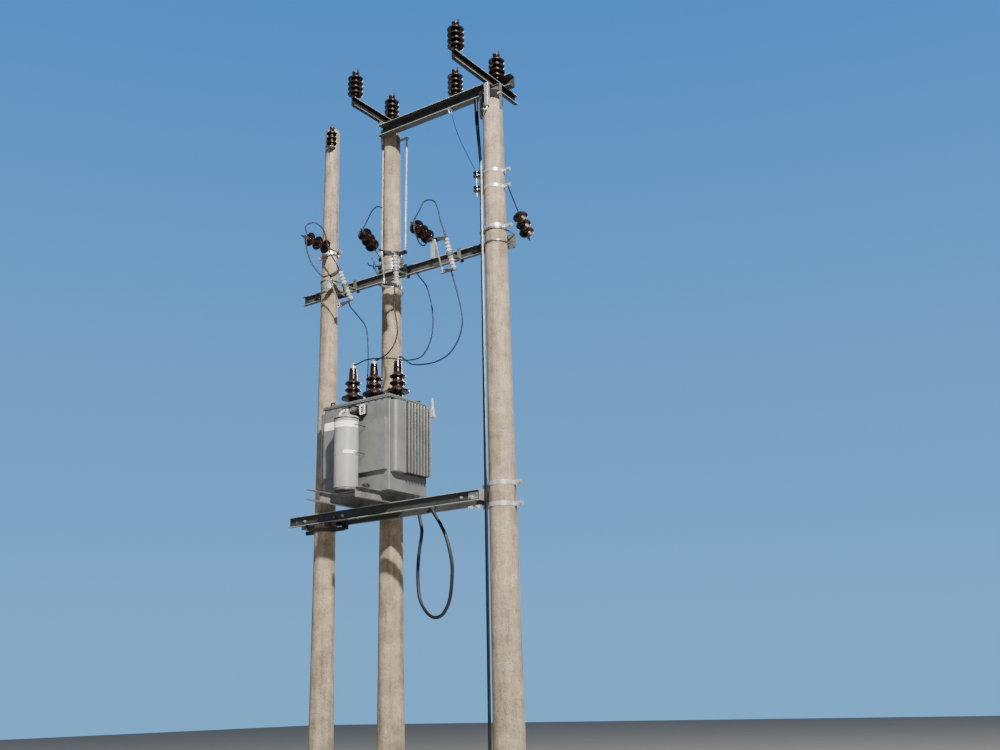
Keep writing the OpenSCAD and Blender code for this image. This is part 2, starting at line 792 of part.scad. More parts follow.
module canister() {
    r = canister_d / 2;
    color(tank_grey)
        translate([canister_x, canister_y, canister_base])
            rotate_extrude($fn = 96)
                polygon([[0, 12], [r - 16, 12], [r - 16, 0], [r - 2, 0], [r - 2, 24], [r, 26],
                         [r, canister_h - 30], [r + 3, canister_h - 26], [r + 3, canister_h],
                         [r - 8, canister_h + 9], [r * 0.5, canister_h + 26],
                         [38, canister_h + lid_h], [0, canister_h + lid_h]]);
}

canister_band_z = [420, 735];

// The two bands round the canister, each with a strap on either side back to the front panel
// and a bolt through the right one
module canister_bands() {
    r = canister_d / 2 + seat;
    t = 4;
    strap = 28;
    color("white")
        for (z = canister_band_z)
            translate([canister_x, canister_y, canister_base + z]) {
                difference() {
                    union() {
                        cylinder(h = z > 500 ? 88 : 56, r = r + t, $fn = 96);
                        translate([-r - t, 0, 14])
                            cube([2 * (r + t), canister_d / 2 + panel_gap - seat, strap]);
                    }
                    translate([0, 0, -1]) cylinder(h = 90, r = r, $fn = 96);
                    translate([-r, 0, -1]) cube([2 * r, canister_d, 90]);
                }
                translate([r, canister_d / 4, 14 + strap / 2]) rotate([0, 90, 0]) {
                    cylinder(h = 46, d = 12);
                    translate([0, 0, t]) cylinder(h = 14, d = 26, $fn = 6);
                }
            }
}

// Neck on the canister's top with the pipe that runs back to the tank, and the short elbow that
// comes down on the lid's left
module canister_fittings() {
    z = canister_base + canister_h + lid_h + seat;
    elbow = 100;
    color(steel)
        translate([canister_x, canister_y, z]) {
            translate([-elbow, 0, 50]) {
                rotate([0, 90, 0]) cylinder(h = elbow, d = 32);
                sphere(d = 36);
                translate([0, 0, -50 - lid_h + 24]) cylinder(h = 26 + lid_h, d = 32);
            }
            cylinder(h = 16, d = 96);
            cylinder(h = 70, d = 52);
            translate([0, 0, 52]) cylinder(h = 26, d = 74, $fn = 6);
            translate([0, 0, 40]) rotate([-90, 0, 0])
                cylinder(h = -tank_front - seat - canister_y, d = 34);
            translate([0, -tank_front - seat - canister_y - 12, 40]) rotate([-90, 0, 0])
                cylinder(h = 12, d = 70);
        }
}

fuse_l = cutout_l - 45;
pin_d = 10;
pin_gap = 0.05;
cheek_t = 6;
cheek_at = 21;
waist = 44;

module place_cutout(i) {
    translate([cutout_xs[i], cutout_y, cutout_z]) rotate([cutout_lean[i], 0, 0]) children();
}

// Four sheds above and four below the waist that the mount grips
module cutout_insulator() {
    half = cutout_l / 2 - 20;
    step = (half - waist / 2) / 4;
    for (end = [0, 1])
        mirror([0, 0, end])
            rotate_extrude($fn = 48)
                polygon(concat([[0, 0], [30, 0], [30, waist / 2]],
                    [for (i = [0 : 3]) each [
                        [25, waist / 2 + step * (i + 0.2)], [38, waist / 2 + step * (i + 0.3)],
                        [38, waist / 2 + step * (i + 0.45)], [25, waist / 2 + step * (i + 0.8)]]],
                    [[24, half], [0, half]]));
}

module cutout_insulators() {
    color(light_polymer) for (i = [0 : 2]) place_cutout(i) cutout_insulator();
}

stub_l = 30;
stub_at = 60;
hook_l = 20;
hood_w = 46;

// One side plate of the hood over the upper contact
module hood_cheek(reach) {
    rotate([90, 0, 90]) linear_extrude(cheek_t)
        polygon([[-24, 14], [-reach, 14], [-reach, -26], [-reach + 50, -36], [-60, -20], [-24, 2]]);
}

// Upper and lower contact arms of one cutout, with the two bored hinge cheeks at the lower one
// and the studs that the leads end on
module cutout_contact_set() {
    h = cutout_l / 2;
    translate([0, 0, h - 20 + seat]) {
        cylinder(h = 20, d = 60);
        translate([-15, -cutout_reach - 20, 8]) cube([30, cutout_reach + 20, 6]);
        translate([-15, -cutout_reach - 20 - hook_l, 0]) cube([30, hook_l + 1, 24]);
        for (side = [-1, 1]) translate([side * (hood_w - cheek_t) / 2 - cheek_t / 2, 0, 0])
            hood_cheek(cutout_reach - 36);
        translate([-hood_w / 2, -cutout_reach + 36, 8]) cube([hood_w, cutout_reach - 60, 6]);
        cylinder(h = 20 + stub_l, d = 22);
    }
    translate([0, 0, -h]) {
        cylinder(h = 20 - seat, d = 60);
        translate([-15, -cutout_reach + 40, 4]) cube([30, cutout_reach - 40, 8]);
        translate([0, -stub_at, -stub_l]) cylinder(h = stub_l + 6, d = 22);
    }
    difference() {
        for (side = [-1, 1])
            translate([side * (cheek_at + cheek_t / 2) - cheek_t / 2, 0, -h])
                rotate([90, 0, 90]) linear_extrude(cheek_t)
                    polygon([[-cutout_reach - 14, -8], [-cutout_reach + 50, -8], [-40, 4], [-34, 16],
                             [-cutout_reach + 60, 44], [-cutout_reach + 30, 44],
                             [-cutout_reach - 14, 26]]);
        translate([0, -cutout_reach, -h + 10]) rotate([0, 90, 0])
            cylinder(h = 80, d = pin_d + 2 * pin_gap, center = true);
    }
    translate([-cheek_at - cheek_t / 2, -cutout_reach + 40, -h + 4])
        cube([2 * cheek_at + cheek_t, 10, 8]);
}

// Point of a cutout's own frame, whose Z runs up its insulator
function cutout_point(i, v) = [cutout_xs[i] + v.x,
    cutout_y + v.y * cos(cutout_lean[i]) - v.z * sin(cutout_lean[i]),
    cutout_z + v.y * sin(cutout_lean[i]) + v.z * cos(cutout_lean[i])];

module cutout_contacts() {
    color(steel) for (i = [0 : 2]) place_cutout(i) cutout_contact_set();
}

// Collar on the insulator's waist, its arm, and two plates bolted together over the crossarm
module cutout_mount(i) {
    plate = 8;
    reach = 26;
    front = crossarm_tip - seat - plate;
    place_cutout(i) difference() {
        cylinder(h = waist - 6, d = 88, center = true);
        cylinder(h = waist, d = 60 + 2 * seat, center = true);
    }
    translate([cutout_xs[i] - 20, cutout_y + 38, cutout_z - 5])
        cube([40, front - cutout_y - 38 + 1, 10]);
    for (y = [front, crossarm_web + seat])
        translate([cutout_xs[i] - 25, y, crossarm_bottom - reach])
            cube([50, plate, beam_depth + 2 * reach]);
    for (z = [crossarm_bottom - reach / 2, crossarm_z + reach / 2])
        translate([cutout_xs[i], (front + crossarm_web + seat + plate) / 2, z])
            bolt(crossarm_web + seat + plate - front, 12);
}

module cutout_mounts() {
    color(steel) for (i = [0 : 2]) cutout_mount(i);
}

// Fuse tube with its top contact and its bottom trunnion; the hinge axis is at the origin
module fuse_tube() {
    cylinder(h = fuse_l, d = fuse_tube_d);
    translate([0, 0, fuse_l - 30]) cylinder(h = 44, d = fuse_tube_d + 10);
    translate([-12, -14, -14]) cube([24, 28, 40]);
    rotate([0, 90, 0]) cylinder(h = 2 * (cheek_at + cheek_t) + 4, d = pin_d, center = true);
}

module left_fuse_tube() {
    color(light_polymer) place_cutout(0) translate([0, -cutout_reach, -cutout_l / 2 + 10]) fuse_tube();
}

module middle_fuse_tube() {
    color(light_polymer) place_cutout(1) translate([0, -cutout_reach, -cutout_l / 2 + 10]) fuse_tube();
}

module right_fuse_tube() {
    color(light_polymer) place_cutout(2) translate([0, -cutout_reach, -cutout_l / 2 + 10]) fuse_tube();
}

// Round rod from one point to another
module rod(p, q, d) {
    v = q - p;
    translate(p) rotate([0, acos(v.z / norm(v)), atan2(v.y, v.x)]) cylinder(h = norm(v), d = d);
}

// Point at a height beside a pole's skin, in the direction of the angle
function beside(p, r, angle, gap, z) = [p.x + (r + gap) * cos(angle), p.y + (r + gap) * sin(angle), z];

function beside_middle(angle, gap, z) = beside(middle_pole, middle_pole_r(z), angle, gap, z);
function beside_right(angle, gap, z) = beside(right_pole, right_pole_r(z), angle, gap, z);

sleeve_d = 50;
small_pipe_d = 24;
side_pipe_d = 30;
pipe_arm_x = 262;
pipe_foot_x = 228;

// Pipe down the middle pole's left, and the one that hangs off its right from the arm to the band
module middle_pole_pipes() {
    foot = string_z + band_w / 2 + seat;
    gap = small_pipe_d / 2 + seat;
    color(dark_steel) {
            rod(beside_middle(214, gap, foot), beside_middle(214, gap, middle_pole_h - 20), small_pipe_d);
            rod(beside_middle(214, sleeve_d / 2 + seat, middle_pole_h - 210),
                beside_middle(214, sleeve_d / 2 + seat, middle_pole_h - 10), sleeve_d);
        }
    color(light_polymer)
        rod([middle_pole.x + pipe_foot_x, middle_pole.y, foot],
            [middle_pole.x + pipe_arm_x, middle_pole.y, pipe_arm_z - seat], side_pipe_d);
}

conduit_d = 25;
cable_d = 18;
conduit_rise = 5;
pipe_bend_z = mid_band_z[0] + 150;
sleeve_foot = [-415, 248, top_beam_z - 390];

// Two pipes up the right pole, over the crossarm's U bolts; above it they lean out to the
// sleeve that hangs from the top beam
module right_pole_pipes() {
    foot = sleeve_foot;
    for (c = [[218, conduit_d, light_polymer, 14, 0], [211, cable_d, dark_steel, -14, 18]]) {
        gap = bolt_d + 2 * seat + c[1] / 2 + c[4];
        bend = beside_right(c[0], gap, pipe_bend_z);
        color(c[2]) {
            rod(beside_right(c[0], gap, conduit_rise), bend, c[1]);
            translate(bend) sphere(d = c[1] + 5);
            rod(bend, foot + [c[3], 0, -seat], c[1]);
        }
    }
    color(dark_steel)
        rod(foot, foot + [-26, 22, top_beam_z - seat - 3 - foot.z], sleeve_d);
}

box_low = tank_base + 50;
gland_at = [-tank_right - 180, tank_rear + 50, box_low - seat];
clip_at = [-tank_right + 290, 90, beam_bottom + 60];

// Cable box on the tank's rear wall that the hanging cable comes out of
module lv_cable_box() {
    color(tank_grey)
        translate([gland_at.x - 50, tank_rear + seat, box_low]) cube([100, 90, 150]);
}

// Points of a route: the straight line between its ends, plus an offset at each stop between them
function hung(a, b, offsets) = let (n = len(offsets) + 1)
    concat([a], [for (i = [1 : n - 1]) a + (b - a) * i / n + offsets[i - 1]], [b]);

loop_d = 42;
lead_d = 17;
wire_d = 8;

function turned_cutout(i, v) = cutout_point(i, v) - cutout_point(i, [0, 0, 0]);

// Places that leads end on: the point on the face, and the way straight out of it
function lower_stud(i) = [cutout_point(i, [0, -stub_at, -cutout_l / 2 - stub_l - seat]),
    turned_cutout(i, [0, 0, -1])];
function upper_stud(i) = [cutout_point(i, [0, 0, cutout_l / 2 + stub_l + 2 * seat]),
    turned_cutout(i, [0, 0, 1])];
function hook_side(i) = [cutout_point(i, [-15 - seat, -cutout_reach - 20 - hook_l / 2, cutout_l / 2 - 8]),
    [-1, 0, 0]];
function clamp_side(s, up) =
    [string_point(s, [clamp_start(s) + 40, 0, up * (clamp_block.z / 2 + seat)]),
     turned([0, 0, up], s[2], s[3])];

function spline_point(p, q, r, s, t) =
    0.5 * (2 * q + (r - p) * t + (2 * p - 5 * q + 4 * r - s) * t * t
           + (3 * q - p - 3 * r + s) * t * t * t);

// Points along a smooth curve through the route, a few for each stretch
function smooth(route, n) = concat(
    [for (i = [0 : len(route) - 2], k = [0 : n - 1])
        spline_point(route[max(i - 1, 0)], route[i], route[i + 1],
                     route[min(i + 2, len(route) - 1)], k / n)],
    [route[len(route) - 1]]);

function unit(v) = v / norm(v);
// Directions along the path; at its ends they are the route's own, so the end faces are square
function directions(route, path) = let (n = len(path), m = len(route)) concat(
    [unit(route[1] - route[0])],
    [for (i = [1 : n - 2]) unit(path[i + 1] - path[i - 1])],
    [unit(route[m - 1] - route[m - 2])]);
// Side direction carried along the path so that the tube doesn't twist
function side_dirs(d, i = 0, last = [0, 1, 0]) =
    i == len(d) ? [] :
    let (s = unit(last - d[i] * (last * d[i]))) concat([s], side_dirs(d, i + 1, s));

module tube(route, d, n, sides) {
    path = smooth(route, n);
    along = directions(route, path);
    s = side_dirs(along);
    rings = len(path);
    points = [for (i = [0 : rings - 1], k = [0 : sides - 1])
        let (a = 360 * k / sides, w = cross(along[i], s[i]))
        path[i] + d / 2 * (cos(a) * s[i] + sin(a) * w)];
    walls = [for (i = [0 : rings - 2], k = [0 : sides - 1])
        let (a = i * sides + k, b = i * sides + (k + 1) % sides)
        [a, b, b + sides, a + sides]];
    polyhedron(points, concat(
        [[for (k = [0 : sides - 1]) sides - 1 - k]],
        walls,
        [[for (k = [0 : sides - 1]) (rings - 1) * sides + k]]));
}

lead_straight = 42;
loop_straight = 60;

// Points of a lead, which leaves and arrives straight for a short way
function lead_route(a, b, offsets, straight = lead_straight) =
    concat([a[0]], hung(a[0] + straight * a[1], b[0] + straight * b[1], offsets), [b[0]]);

module lead(route) {
    color(black_cable) tube(route, lead_d, 3, 10);
}

left_fuse_route = lead_route(lower_stud(0), [[gland_x, gland_y, cover_z + 45 + 2 * seat], [0, 0, 1]],
    [[85, 0, 75], [170, 5, 120], [165, 0, 100], [125, 0, 65], [65, 0, 35]]);
middle_fuse_route = lead_route(lower_stud(1), bushing_terminal(1),
    [[30, 5, -35], [110, 5, -70], [190, -5, -105], [190, -10, -130], [110, -10, -100]]);
right_fuse_route = lead_route(lower_stud(2), bushing_terminal(2),
    [[155, -10, -110], [305, -20, -220], [420, -20, -335], [445, -15, -440], [390, -10, -495],
     [285, -10, -460], [175, -5, -360], [65, 0, -220]]);
crossarm_route = lead_route(
    [[strap_x - 215, crossarm_web - 25, crossarm_bottom - seat], [0, 0, -1]], bushing_terminal(0),
    [[210, 0, -65], [360, 15, -165], [480, 25, -270], [575, 25, -380], [610, 30, -485],
     [575, 15, -550], [465, -30, -475], [360, -95, -335], [240, -120, -215], [120, -70, -90]]);
left_jumper_route = lead_route(clamp_side(strings[0], 1), upper_stud(0),
    [[-60, -35, 170], [-5, -20, 270], [20, 25, 260], [-15, 50, 205], [-45, 45, 130], [-35, 30, 65]]);
left_tail_route = lead_route(clamp_side(strings[0], -1), hook_side(0),
    [[-25, -30, -15], [-35, -35, -25], [-25, -30, -20]]);
middle_jumper_route = lead_route(clamp_side(strings[1], 1),
    [beside_middle(214, small_pipe_d / 2 + seat, string_z + 715) - [0, small_pipe_d / 2 + seat, 0],
     [0, -1, 0]],
    [[50, -35, 45], [40, -45, 55], [35, -30, 50]]);
post_jumper_route = lead_route(clamp_side(strings[2], 1), upper_stud(2),
    [[20, -15, 145], [25, -10, 295], [85, 0, 300], [70, 0, 205], [25, 0, 100]]);
post_tail_route = lead_route(clamp_side(strings[2], -1), hook_side(2),
    [[-25, 15, -50], [-40, 10, -95], [-25, 10, -105]]);
wire_route = lead_route([[-860, top_beam_y - top_beam_flange / 2, top_beam_z - seat], [0, 0, -1]],
    [[-spool_x - 26, rack_y + 6, spool_zs[1] + spool_h + seat], [0, 0, 1]],
    [[-25, 0, 0], [-35, 5, -10], [-30, 10, -10], [-15, 5, -5]]);
loop_route = lead_route([gland_at, [0, 0, -1]], [clip_at - [0, 0, seat], [0, 0, -1]], [
    [-30, 15, -10], [-35, 35, -175], [-20, 50, -350], [-80, 65, -545], [-130, 80, -730],
    [-160, 100, -930], [-150, 105, -1105], [-85, 100, -1225], [-10, 85, -1290], [80, 65, -1315],
    [180, 40, -1285], [255, 15, -1205], [315, -10, -1085], [345, -30, -915], [350, -40, -705],
    [305, -45, -500], [230, -35, -320], [120, -15, -155]
], loop_straight);

module left_fuse_lead() { lead(left_fuse_route); }
module middle_fuse_lead() { lead(middle_fuse_route); }
module right_fuse_lead() { lead(right_fuse_route); }
module crossarm_lead() { lead(crossarm_route); }
module left_string_jumper() { lead(left_jumper_route); }
module left_string_tail() { lead(left_tail_route); }
module middle_string_jumper() { lead(middle_jumper_route); }
module post_string_jumper() { lead(post_jumper_route); }
module post_string_tail() { lead(post_tail_route); }

module top_tie_wire() {
    color(dark_steel) tube(wire_route, wire_d, 4, 8);
}

module lv_cable_loop() {
    color(black_cable) tube(loop_route, loop_d, 3, 10);
}

left_pole();
middle_pole();
right_pole();
platform_beams();
platform_bands();
platform_end_bracket();
cross_channels();
cutout_crossarm();
crossarm_clamps();
top_beam();
top_arms();
top_brackets();
post_insulators();
post_insulator_fittings();
strain_insulators();
strain_fittings();
strain_bands();
spool_insulators();
transformer_tank();
tank_cover();
end_fins();
front_panel();
tank_fittings();
hv_bushings();
hv_bushing_terminals();
lv_bushings();
corner_vent();
lv_cable_box();
canister();
canister_bands();
canister_fittings();
cutout_insulators();
cutout_contacts();
cutout_mounts();
left_fuse_tube();
middle_fuse_tube();
right_fuse_tube();
middle_pole_pipes();
right_pole_pipes();
left_fuse_lead();
middle_fuse_lead();
right_fuse_lead();
crossarm_lead();
left_string_jumper();
left_string_tail();
middle_string_jumper();
post_string_jumper();
post_string_tail();
top_tie_wire();
lv_cable_loop();
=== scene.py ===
# %% [markdown]
# # Pole mounted transformer
# The object is a small substation on three round concrete poles: a steel platform with an oil
# filled transformer, a crossarm with three drop-out fuses, and the insulators of the line.
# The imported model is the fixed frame. Blender adds the finishes, the cables and the small parts
# that a fitter would see, and leaves every size as the frame has it.

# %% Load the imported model
import math
import bmesh
import bpy
from mathutils import Matrix, Vector


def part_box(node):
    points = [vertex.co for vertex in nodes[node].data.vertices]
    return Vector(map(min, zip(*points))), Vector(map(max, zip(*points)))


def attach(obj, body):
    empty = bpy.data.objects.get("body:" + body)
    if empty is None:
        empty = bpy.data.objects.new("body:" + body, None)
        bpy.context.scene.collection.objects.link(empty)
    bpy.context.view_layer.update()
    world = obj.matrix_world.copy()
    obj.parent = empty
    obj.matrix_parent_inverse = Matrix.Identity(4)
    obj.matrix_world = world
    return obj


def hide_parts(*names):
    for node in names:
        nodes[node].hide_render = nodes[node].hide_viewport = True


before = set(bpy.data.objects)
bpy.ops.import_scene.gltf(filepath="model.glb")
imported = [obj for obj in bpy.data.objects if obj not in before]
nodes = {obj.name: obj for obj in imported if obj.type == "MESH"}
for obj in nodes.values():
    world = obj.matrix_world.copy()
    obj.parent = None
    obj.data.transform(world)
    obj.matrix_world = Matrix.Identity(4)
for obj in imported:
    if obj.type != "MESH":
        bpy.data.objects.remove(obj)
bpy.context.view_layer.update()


def stand(name, data):
    made = bpy.data.objects.new(name, data)
    bpy.context.scene.collection.objects.link(made)
    return made


# %% [markdown]
# ## Camera
# The photographer stood on the ground, to the right of the row and well back from it, and tipped
# the camera up. The place, the three turns and the focal length were fitted to the poles' edges
# and the ends of the beams, so a corner of the model falls on the same place in the picture.

# %% Set the camera
eye = (6.860, -10.075, 1.556)
yaw, pitch, roll = (math.radians(a) for a in (34.23, 16.48, -1.53))
focal, picture_width, sensor_mm = 1100, 1000, 36
ahead = Vector((-math.sin(yaw) * math.cos(pitch), math.cos(yaw) * math.cos(pitch),
                math.sin(pitch)))
level = Vector((math.cos(yaw), math.sin(yaw), 0))
above = level.cross(ahead)
right = math.cos(roll) * level + math.sin(roll) * above
top = -math.sin(roll) * level + math.cos(roll) * above
camera = stand("camera", bpy.data.cameras.new("camera"))
camera.data.sensor_width = sensor_mm
camera.data.lens = sensor_mm * focal / picture_width
camera.matrix_world = (Matrix.Translation(eye)
                       @ Matrix((right, top, -ahead)).transposed().to_4x4())
bpy.context.scene.camera = camera
print("lens", round(camera.data.lens, 1), "mm")

# %% [markdown]
# ## How a finish is made
# A finish is a node tree on one Principled shader. One function adds a node: it sets the node's
# own settings and the stops of a colour ramp, and feeds each input a value or a link. A node that
# is given as an input is linked by its first open socket. Colours are written as they are read
# off a paint card, in sRGB hex, and one function turns them to linear light. Every pattern starts
# from a real size in millimetres.


# %% Helpers for finishes
def colour(hex_code):
    parts = [int(hex_code[i:i + 2], 16) / 255 for i in (1, 3, 5)]
    return (*(c / 12.92 if c <= 0.04045 else ((c + 0.055) / 1.055) ** 2.4 for c in parts), 1)


def feed(node, inputs):
    for key, value in inputs.items():
        if isinstance(value, bpy.types.Node):
            value = next(socket for socket in value.outputs if socket.enabled)
        if isinstance(value, bpy.types.NodeSocket):
            node.id_data.links.new(value, node.inputs[key])
        else:
            node.inputs[key].default_value = value


def add(tree, kind, inputs=None, stops=(), **settings):
    made = tree.nodes.new(kind if "Node" in kind else "ShaderNode" + kind)
    for name, value in settings.items():
        setattr(made, name, value)
    feed(made, inputs or {})
    for i, (place, value) in enumerate(stops):
        elements = made.color_ramp.elements
        element = elements[i] if i < 2 else elements.new(1)
        element.position = place
        element.color = colour(value) if isinstance(value, str) else (value, value, value, 1)
    return made


def per_mm(size):
    return 1000 / size


mixed = {"data_type": "RGBA"}
multiplied = {"data_type": "RGBA", "blend_type": "MULTIPLY"}
times = {"operation": "MULTIPLY"}


def start_finish(name, **values):
    finish = bpy.data.materials.new(name)
    finish.use_nodes = True
    tree = finish.node_tree
    tree.nodes.clear()
    shader = add(tree, "BsdfPrincipled", values)
    add(tree, "OutputMaterial", {"Surface": shader})
    return finish, tree, shader, add(tree, "TexCoord").outputs["Object"]


def paint_nodes(finish, *names):
    for name in names:
        obj = nodes[name]
        obj.data.materials.clear()
        obj.data.materials.append(finish)


# %% [markdown]
# ## The cables first
# Leads and jumpers are stiff insulated cable. Each leaves its clamp straight, bends in a wide arc
# and arrives straight at the next one. The route is a few points, the same ones that the frame's
# own source works out. A smooth curve runs through them, and a round tube is swept along it, with
# its side direction carried from ring to ring so that the jacket doesn't twist.

# %% Cable routes in metres, with each cable's diameter and stiffness
lead, wire, power_cable = (0.017, "medium"), (0.008, "stiff"), (0.042, "stiff")
routes = {
    "left_fuse_lead": (lead, [
        (-2.37, 0.0302, 6.5839), (-2.37, 0.0537, 6.5491), (-2.2392, 0.0548, 6.3981),
        (-2.1083, 0.0608, 6.2171), (-2.0675, 0.0569, 5.971), (-2.0617, 0.0579, 5.71),
        (-2.0758, 0.059, 5.4539), (-2.095, 0.06, 5.1929), (-2.095, 0.06, 5.1509)]),
    "middle_fuse_lead": (lead, [
        (-1.51, -0.0846, 6.5688), (-1.51, -0.0787, 6.5272), (-1.5368, -0.0606, 6.3565),
        (-1.5136, -0.0475, 6.1858), (-1.4903, -0.0444, 6.0151), (-1.5471, -0.0362, 5.8543),
        (-1.6839, -0.0231, 5.7486), (-1.8507, 0, 5.7129), (-1.8927, 0, 5.7129)]),
    "right_fuse_lead": (lead, [
        (-0.65, -0.0174, 6.5711), (-0.65, -0.001, 6.5325), (-0.594, -0.0009, 6.3314),
        (-0.5429, -0.0008, 6.1304), (-0.5269, 0.0093, 5.9243), (-0.6009, 0.0244, 5.7282),
        (-0.7548, 0.0395, 5.5822), (-0.9588, 0.0497, 5.5261), (-1.1678, 0.0648, 5.535),
        (-1.3767, 0.0799, 5.584), (-1.5407, 0.09, 5.7129), (-1.5827, 0.09, 5.7129)]),
    "crossarm_lead": (lead, [
        (-1.325, 0.1647, 6.8147), (-1.325, 0.1647, 6.7727), (-1.1932, 0.1479, 6.6114),
        (-1.1215, 0.1461, 6.415), (-1.0797, 0.1394, 6.2137), (-1.063, 0.1226, 6.0073),
        (-1.1062, 0.1108, 5.806), (-1.2195, 0.079, 5.6446), (-1.4077, 0.0172, 5.6233),
        (-1.591, -0.0646, 5.6669), (-1.7892, -0.1064, 5.6906), (-1.9874, -0.0732, 5.7192),
        (-2.1857, -0.02, 5.7129), (-2.2277, -0.02, 5.7129)]),
    "left_string_jumper": (lead, [
        (-2.5673, -0.5925, 7.3899), (-2.5672, -0.5907, 7.4319), (-2.599, -0.5732, 7.5498),
        (-2.5159, -0.5058, 7.5978), (-2.4627, -0.4084, 7.5357), (-2.4695, -0.3309, 7.4287),
        (-2.4713, -0.2835, 7.3017), (-2.4332, -0.2461, 7.1846), (-2.37, -0.2236, 7.0676),
        (-2.37, -0.2001, 7.0328)]),
    "left_string_tail": (lead, [
        (-2.5673, -0.5943, 7.3493), (-2.5674, -0.5961, 7.3074), (-2.5574, -0.5797, 7.1766),
        (-2.5324, -0.5384, 7.0508), (-2.4873, -0.487, 6.94), (-2.4273, -0.4107, 6.8442),
        (-2.3853, -0.4107, 6.8442)]),
    "middle_string_jumper": (lead, [
        (-1.984, -0.1501, 7.4619), (-1.9861, -0.1447, 7.5035), (-1.982, -0.0456, 7.6876),
        (-2.0378, 0.0785, 7.8367), (-2.0887, 0.2276, 7.9709), (-2.1696, 0.3918, 8.06),
        (-2.1696, 0.4338, 8.06)]),
    "post_string_jumper": (lead, [
        (-1.0349, -0.2775, 7.2571), (-1.0354, -0.2746, 7.2991), (-0.9512, -0.2729, 7.4099),
        (-0.882, -0.2512, 7.5258), (-0.7577, -0.2245, 7.4967), (-0.7085, -0.2077, 7.3676),
        (-0.6892, -0.191, 7.2285), (-0.65, -0.1743, 7.0943), (-0.65, -0.1579, 7.0557)]),
    "post_string_tail": (lead, [
        (-1.0345, -0.2803, 7.2166), (-1.034, -0.2831, 7.1748), (-0.9773, -0.2975, 7.0587),
        (-0.9106, -0.3319, 6.9478), (-0.814, -0.3612, 6.8717), (-0.7073, -0.4006, 6.9107),
        (-0.6653, -0.4006, 6.9107)]),
    "top_tie_wire": (wire, [
        (-0.86, 0.3, 9.0466), (-0.86, 0.3, 9.0046), (-0.7697, 0.238, 8.7767),
        (-0.6644, 0.181, 8.5389), (-0.5441, 0.124, 8.311), (-0.4138, 0.057, 8.0882),
        (-0.2835, -0.01, 7.8653), (-0.2835, -0.01, 7.8233)]),
    "lv_cable_loop": (power_cable, [
        (-1.53, 0.4, 4), (-1.53, 0.4, 3.94), (-1.5353, 0.3987, 3.9179), (-1.5155, 0.4024, 3.7408),
        (-1.4758, 0.4011, 3.5536), (-1.5111, 0.3997, 3.3465), (-1.5363, 0.3984, 3.1494),
        (-1.5416, 0.4021, 2.9373), (-1.5068, 0.3908, 2.7502), (-1.4171, 0.3695, 2.618),
        (-1.3174, 0.3382, 2.5409), (-1.2026, 0.3018, 2.5038), (-1.0779, 0.2605, 2.5217),
        (-0.9782, 0.2192, 2.5896), (-0.8934, 0.1779, 2.6974), (-0.8387, 0.1416, 2.8553),
        (-0.8089, 0.1153, 3.0532), (-0.8292, 0.0939, 3.2461), (-0.8795, 0.0876, 3.4139),
        (-0.9647, 0.0913, 3.5668), (-1.06, 0.09, 3.7097), (-1.06, 0.09, 3.7697)]),
}
print(len(routes), "cables")


# %% Sweep a tube along a route
def smooth(route, steps):
    points, last = [], len(route) - 1
    for i in range(last):
        p, q, r, s = (Vector(route[min(max(k, 0), last)]) for k in range(i - 1, i + 3))
        for k in range(steps):
            t = k / steps
            points.append(0.5 * (2 * q + (r - p) * t + (2 * p - 5 * q + 4 * r - s) * t * t
                                 + (3 * q - p - 3 * r + s) * t ** 3))
    return points + [Vector(route[-1])]


def headings(points):
    return [(points[min(i + 1, len(points) - 1)] - points[max(i - 1, 0)]).normalized()
            for i in range(len(points))]


def circle(mesh, centre, side, other, radius, sides):
    turns = (2 * math.pi * k / sides for k in range(sides))
    return [mesh.verts.new(centre + radius * (math.cos(a) * side + math.sin(a) * other))
            for a in turns]


def sweep(name, route, radius, steps=4, sides=16):
    points = smooth(route, steps)
    along = headings(points)
    along[0] = (Vector(route[1]) - Vector(route[0])).normalized()
    along[-1] = (Vector(route[-1]) - Vector(route[-2])).normalized()
    mesh = bmesh.new()
    layer = mesh.loops.layers.uv.new("jacket")
    side, rings, run, runs = Vector((0, 1, 0)), [], 0.0, []
    for i, point in enumerate(points):
        side = (side - along[i] * side.dot(along[i])).normalized()
        other = along[i].cross(side)
        run += (point - points[i - 1]).length if i else 0.0
        runs.append(run)
        rings.append(circle(mesh, point, side, other, radius, sides))
    for i in range(len(rings) - 1):
        for k in range(sides):
            face = mesh.faces.new((rings[i][k], rings[i][(k + 1) % sides],
                                   rings[i + 1][(k + 1) % sides], rings[i + 1][k]))
            face.smooth = True
            for loop, (u, v) in zip(face.loops, ((k, i), (k + 1, i), (k + 1, i + 1), (k, i + 1))):
                loop[layer].uv = (u / sides, runs[v])
    mesh.faces.new(rings[0][::-1])
    mesh.faces.new(rings[-1])
    data = bpy.data.meshes.new(name)
    mesh.to_mesh(data)
    mesh.free()
    return stand(name, data), points, run, (along[0], -along[-1])


# %% [markdown]
# ## Black cable jacket
# The leads are insulated with extruded cross-linked polyethylene, black from its carbon. The die
# leaves faint lines along the cable, and dust greys it a little. The lines follow the cable's own
# UV map. The real lines are finer than a millimetre, and are drawn coarser here so that they show.

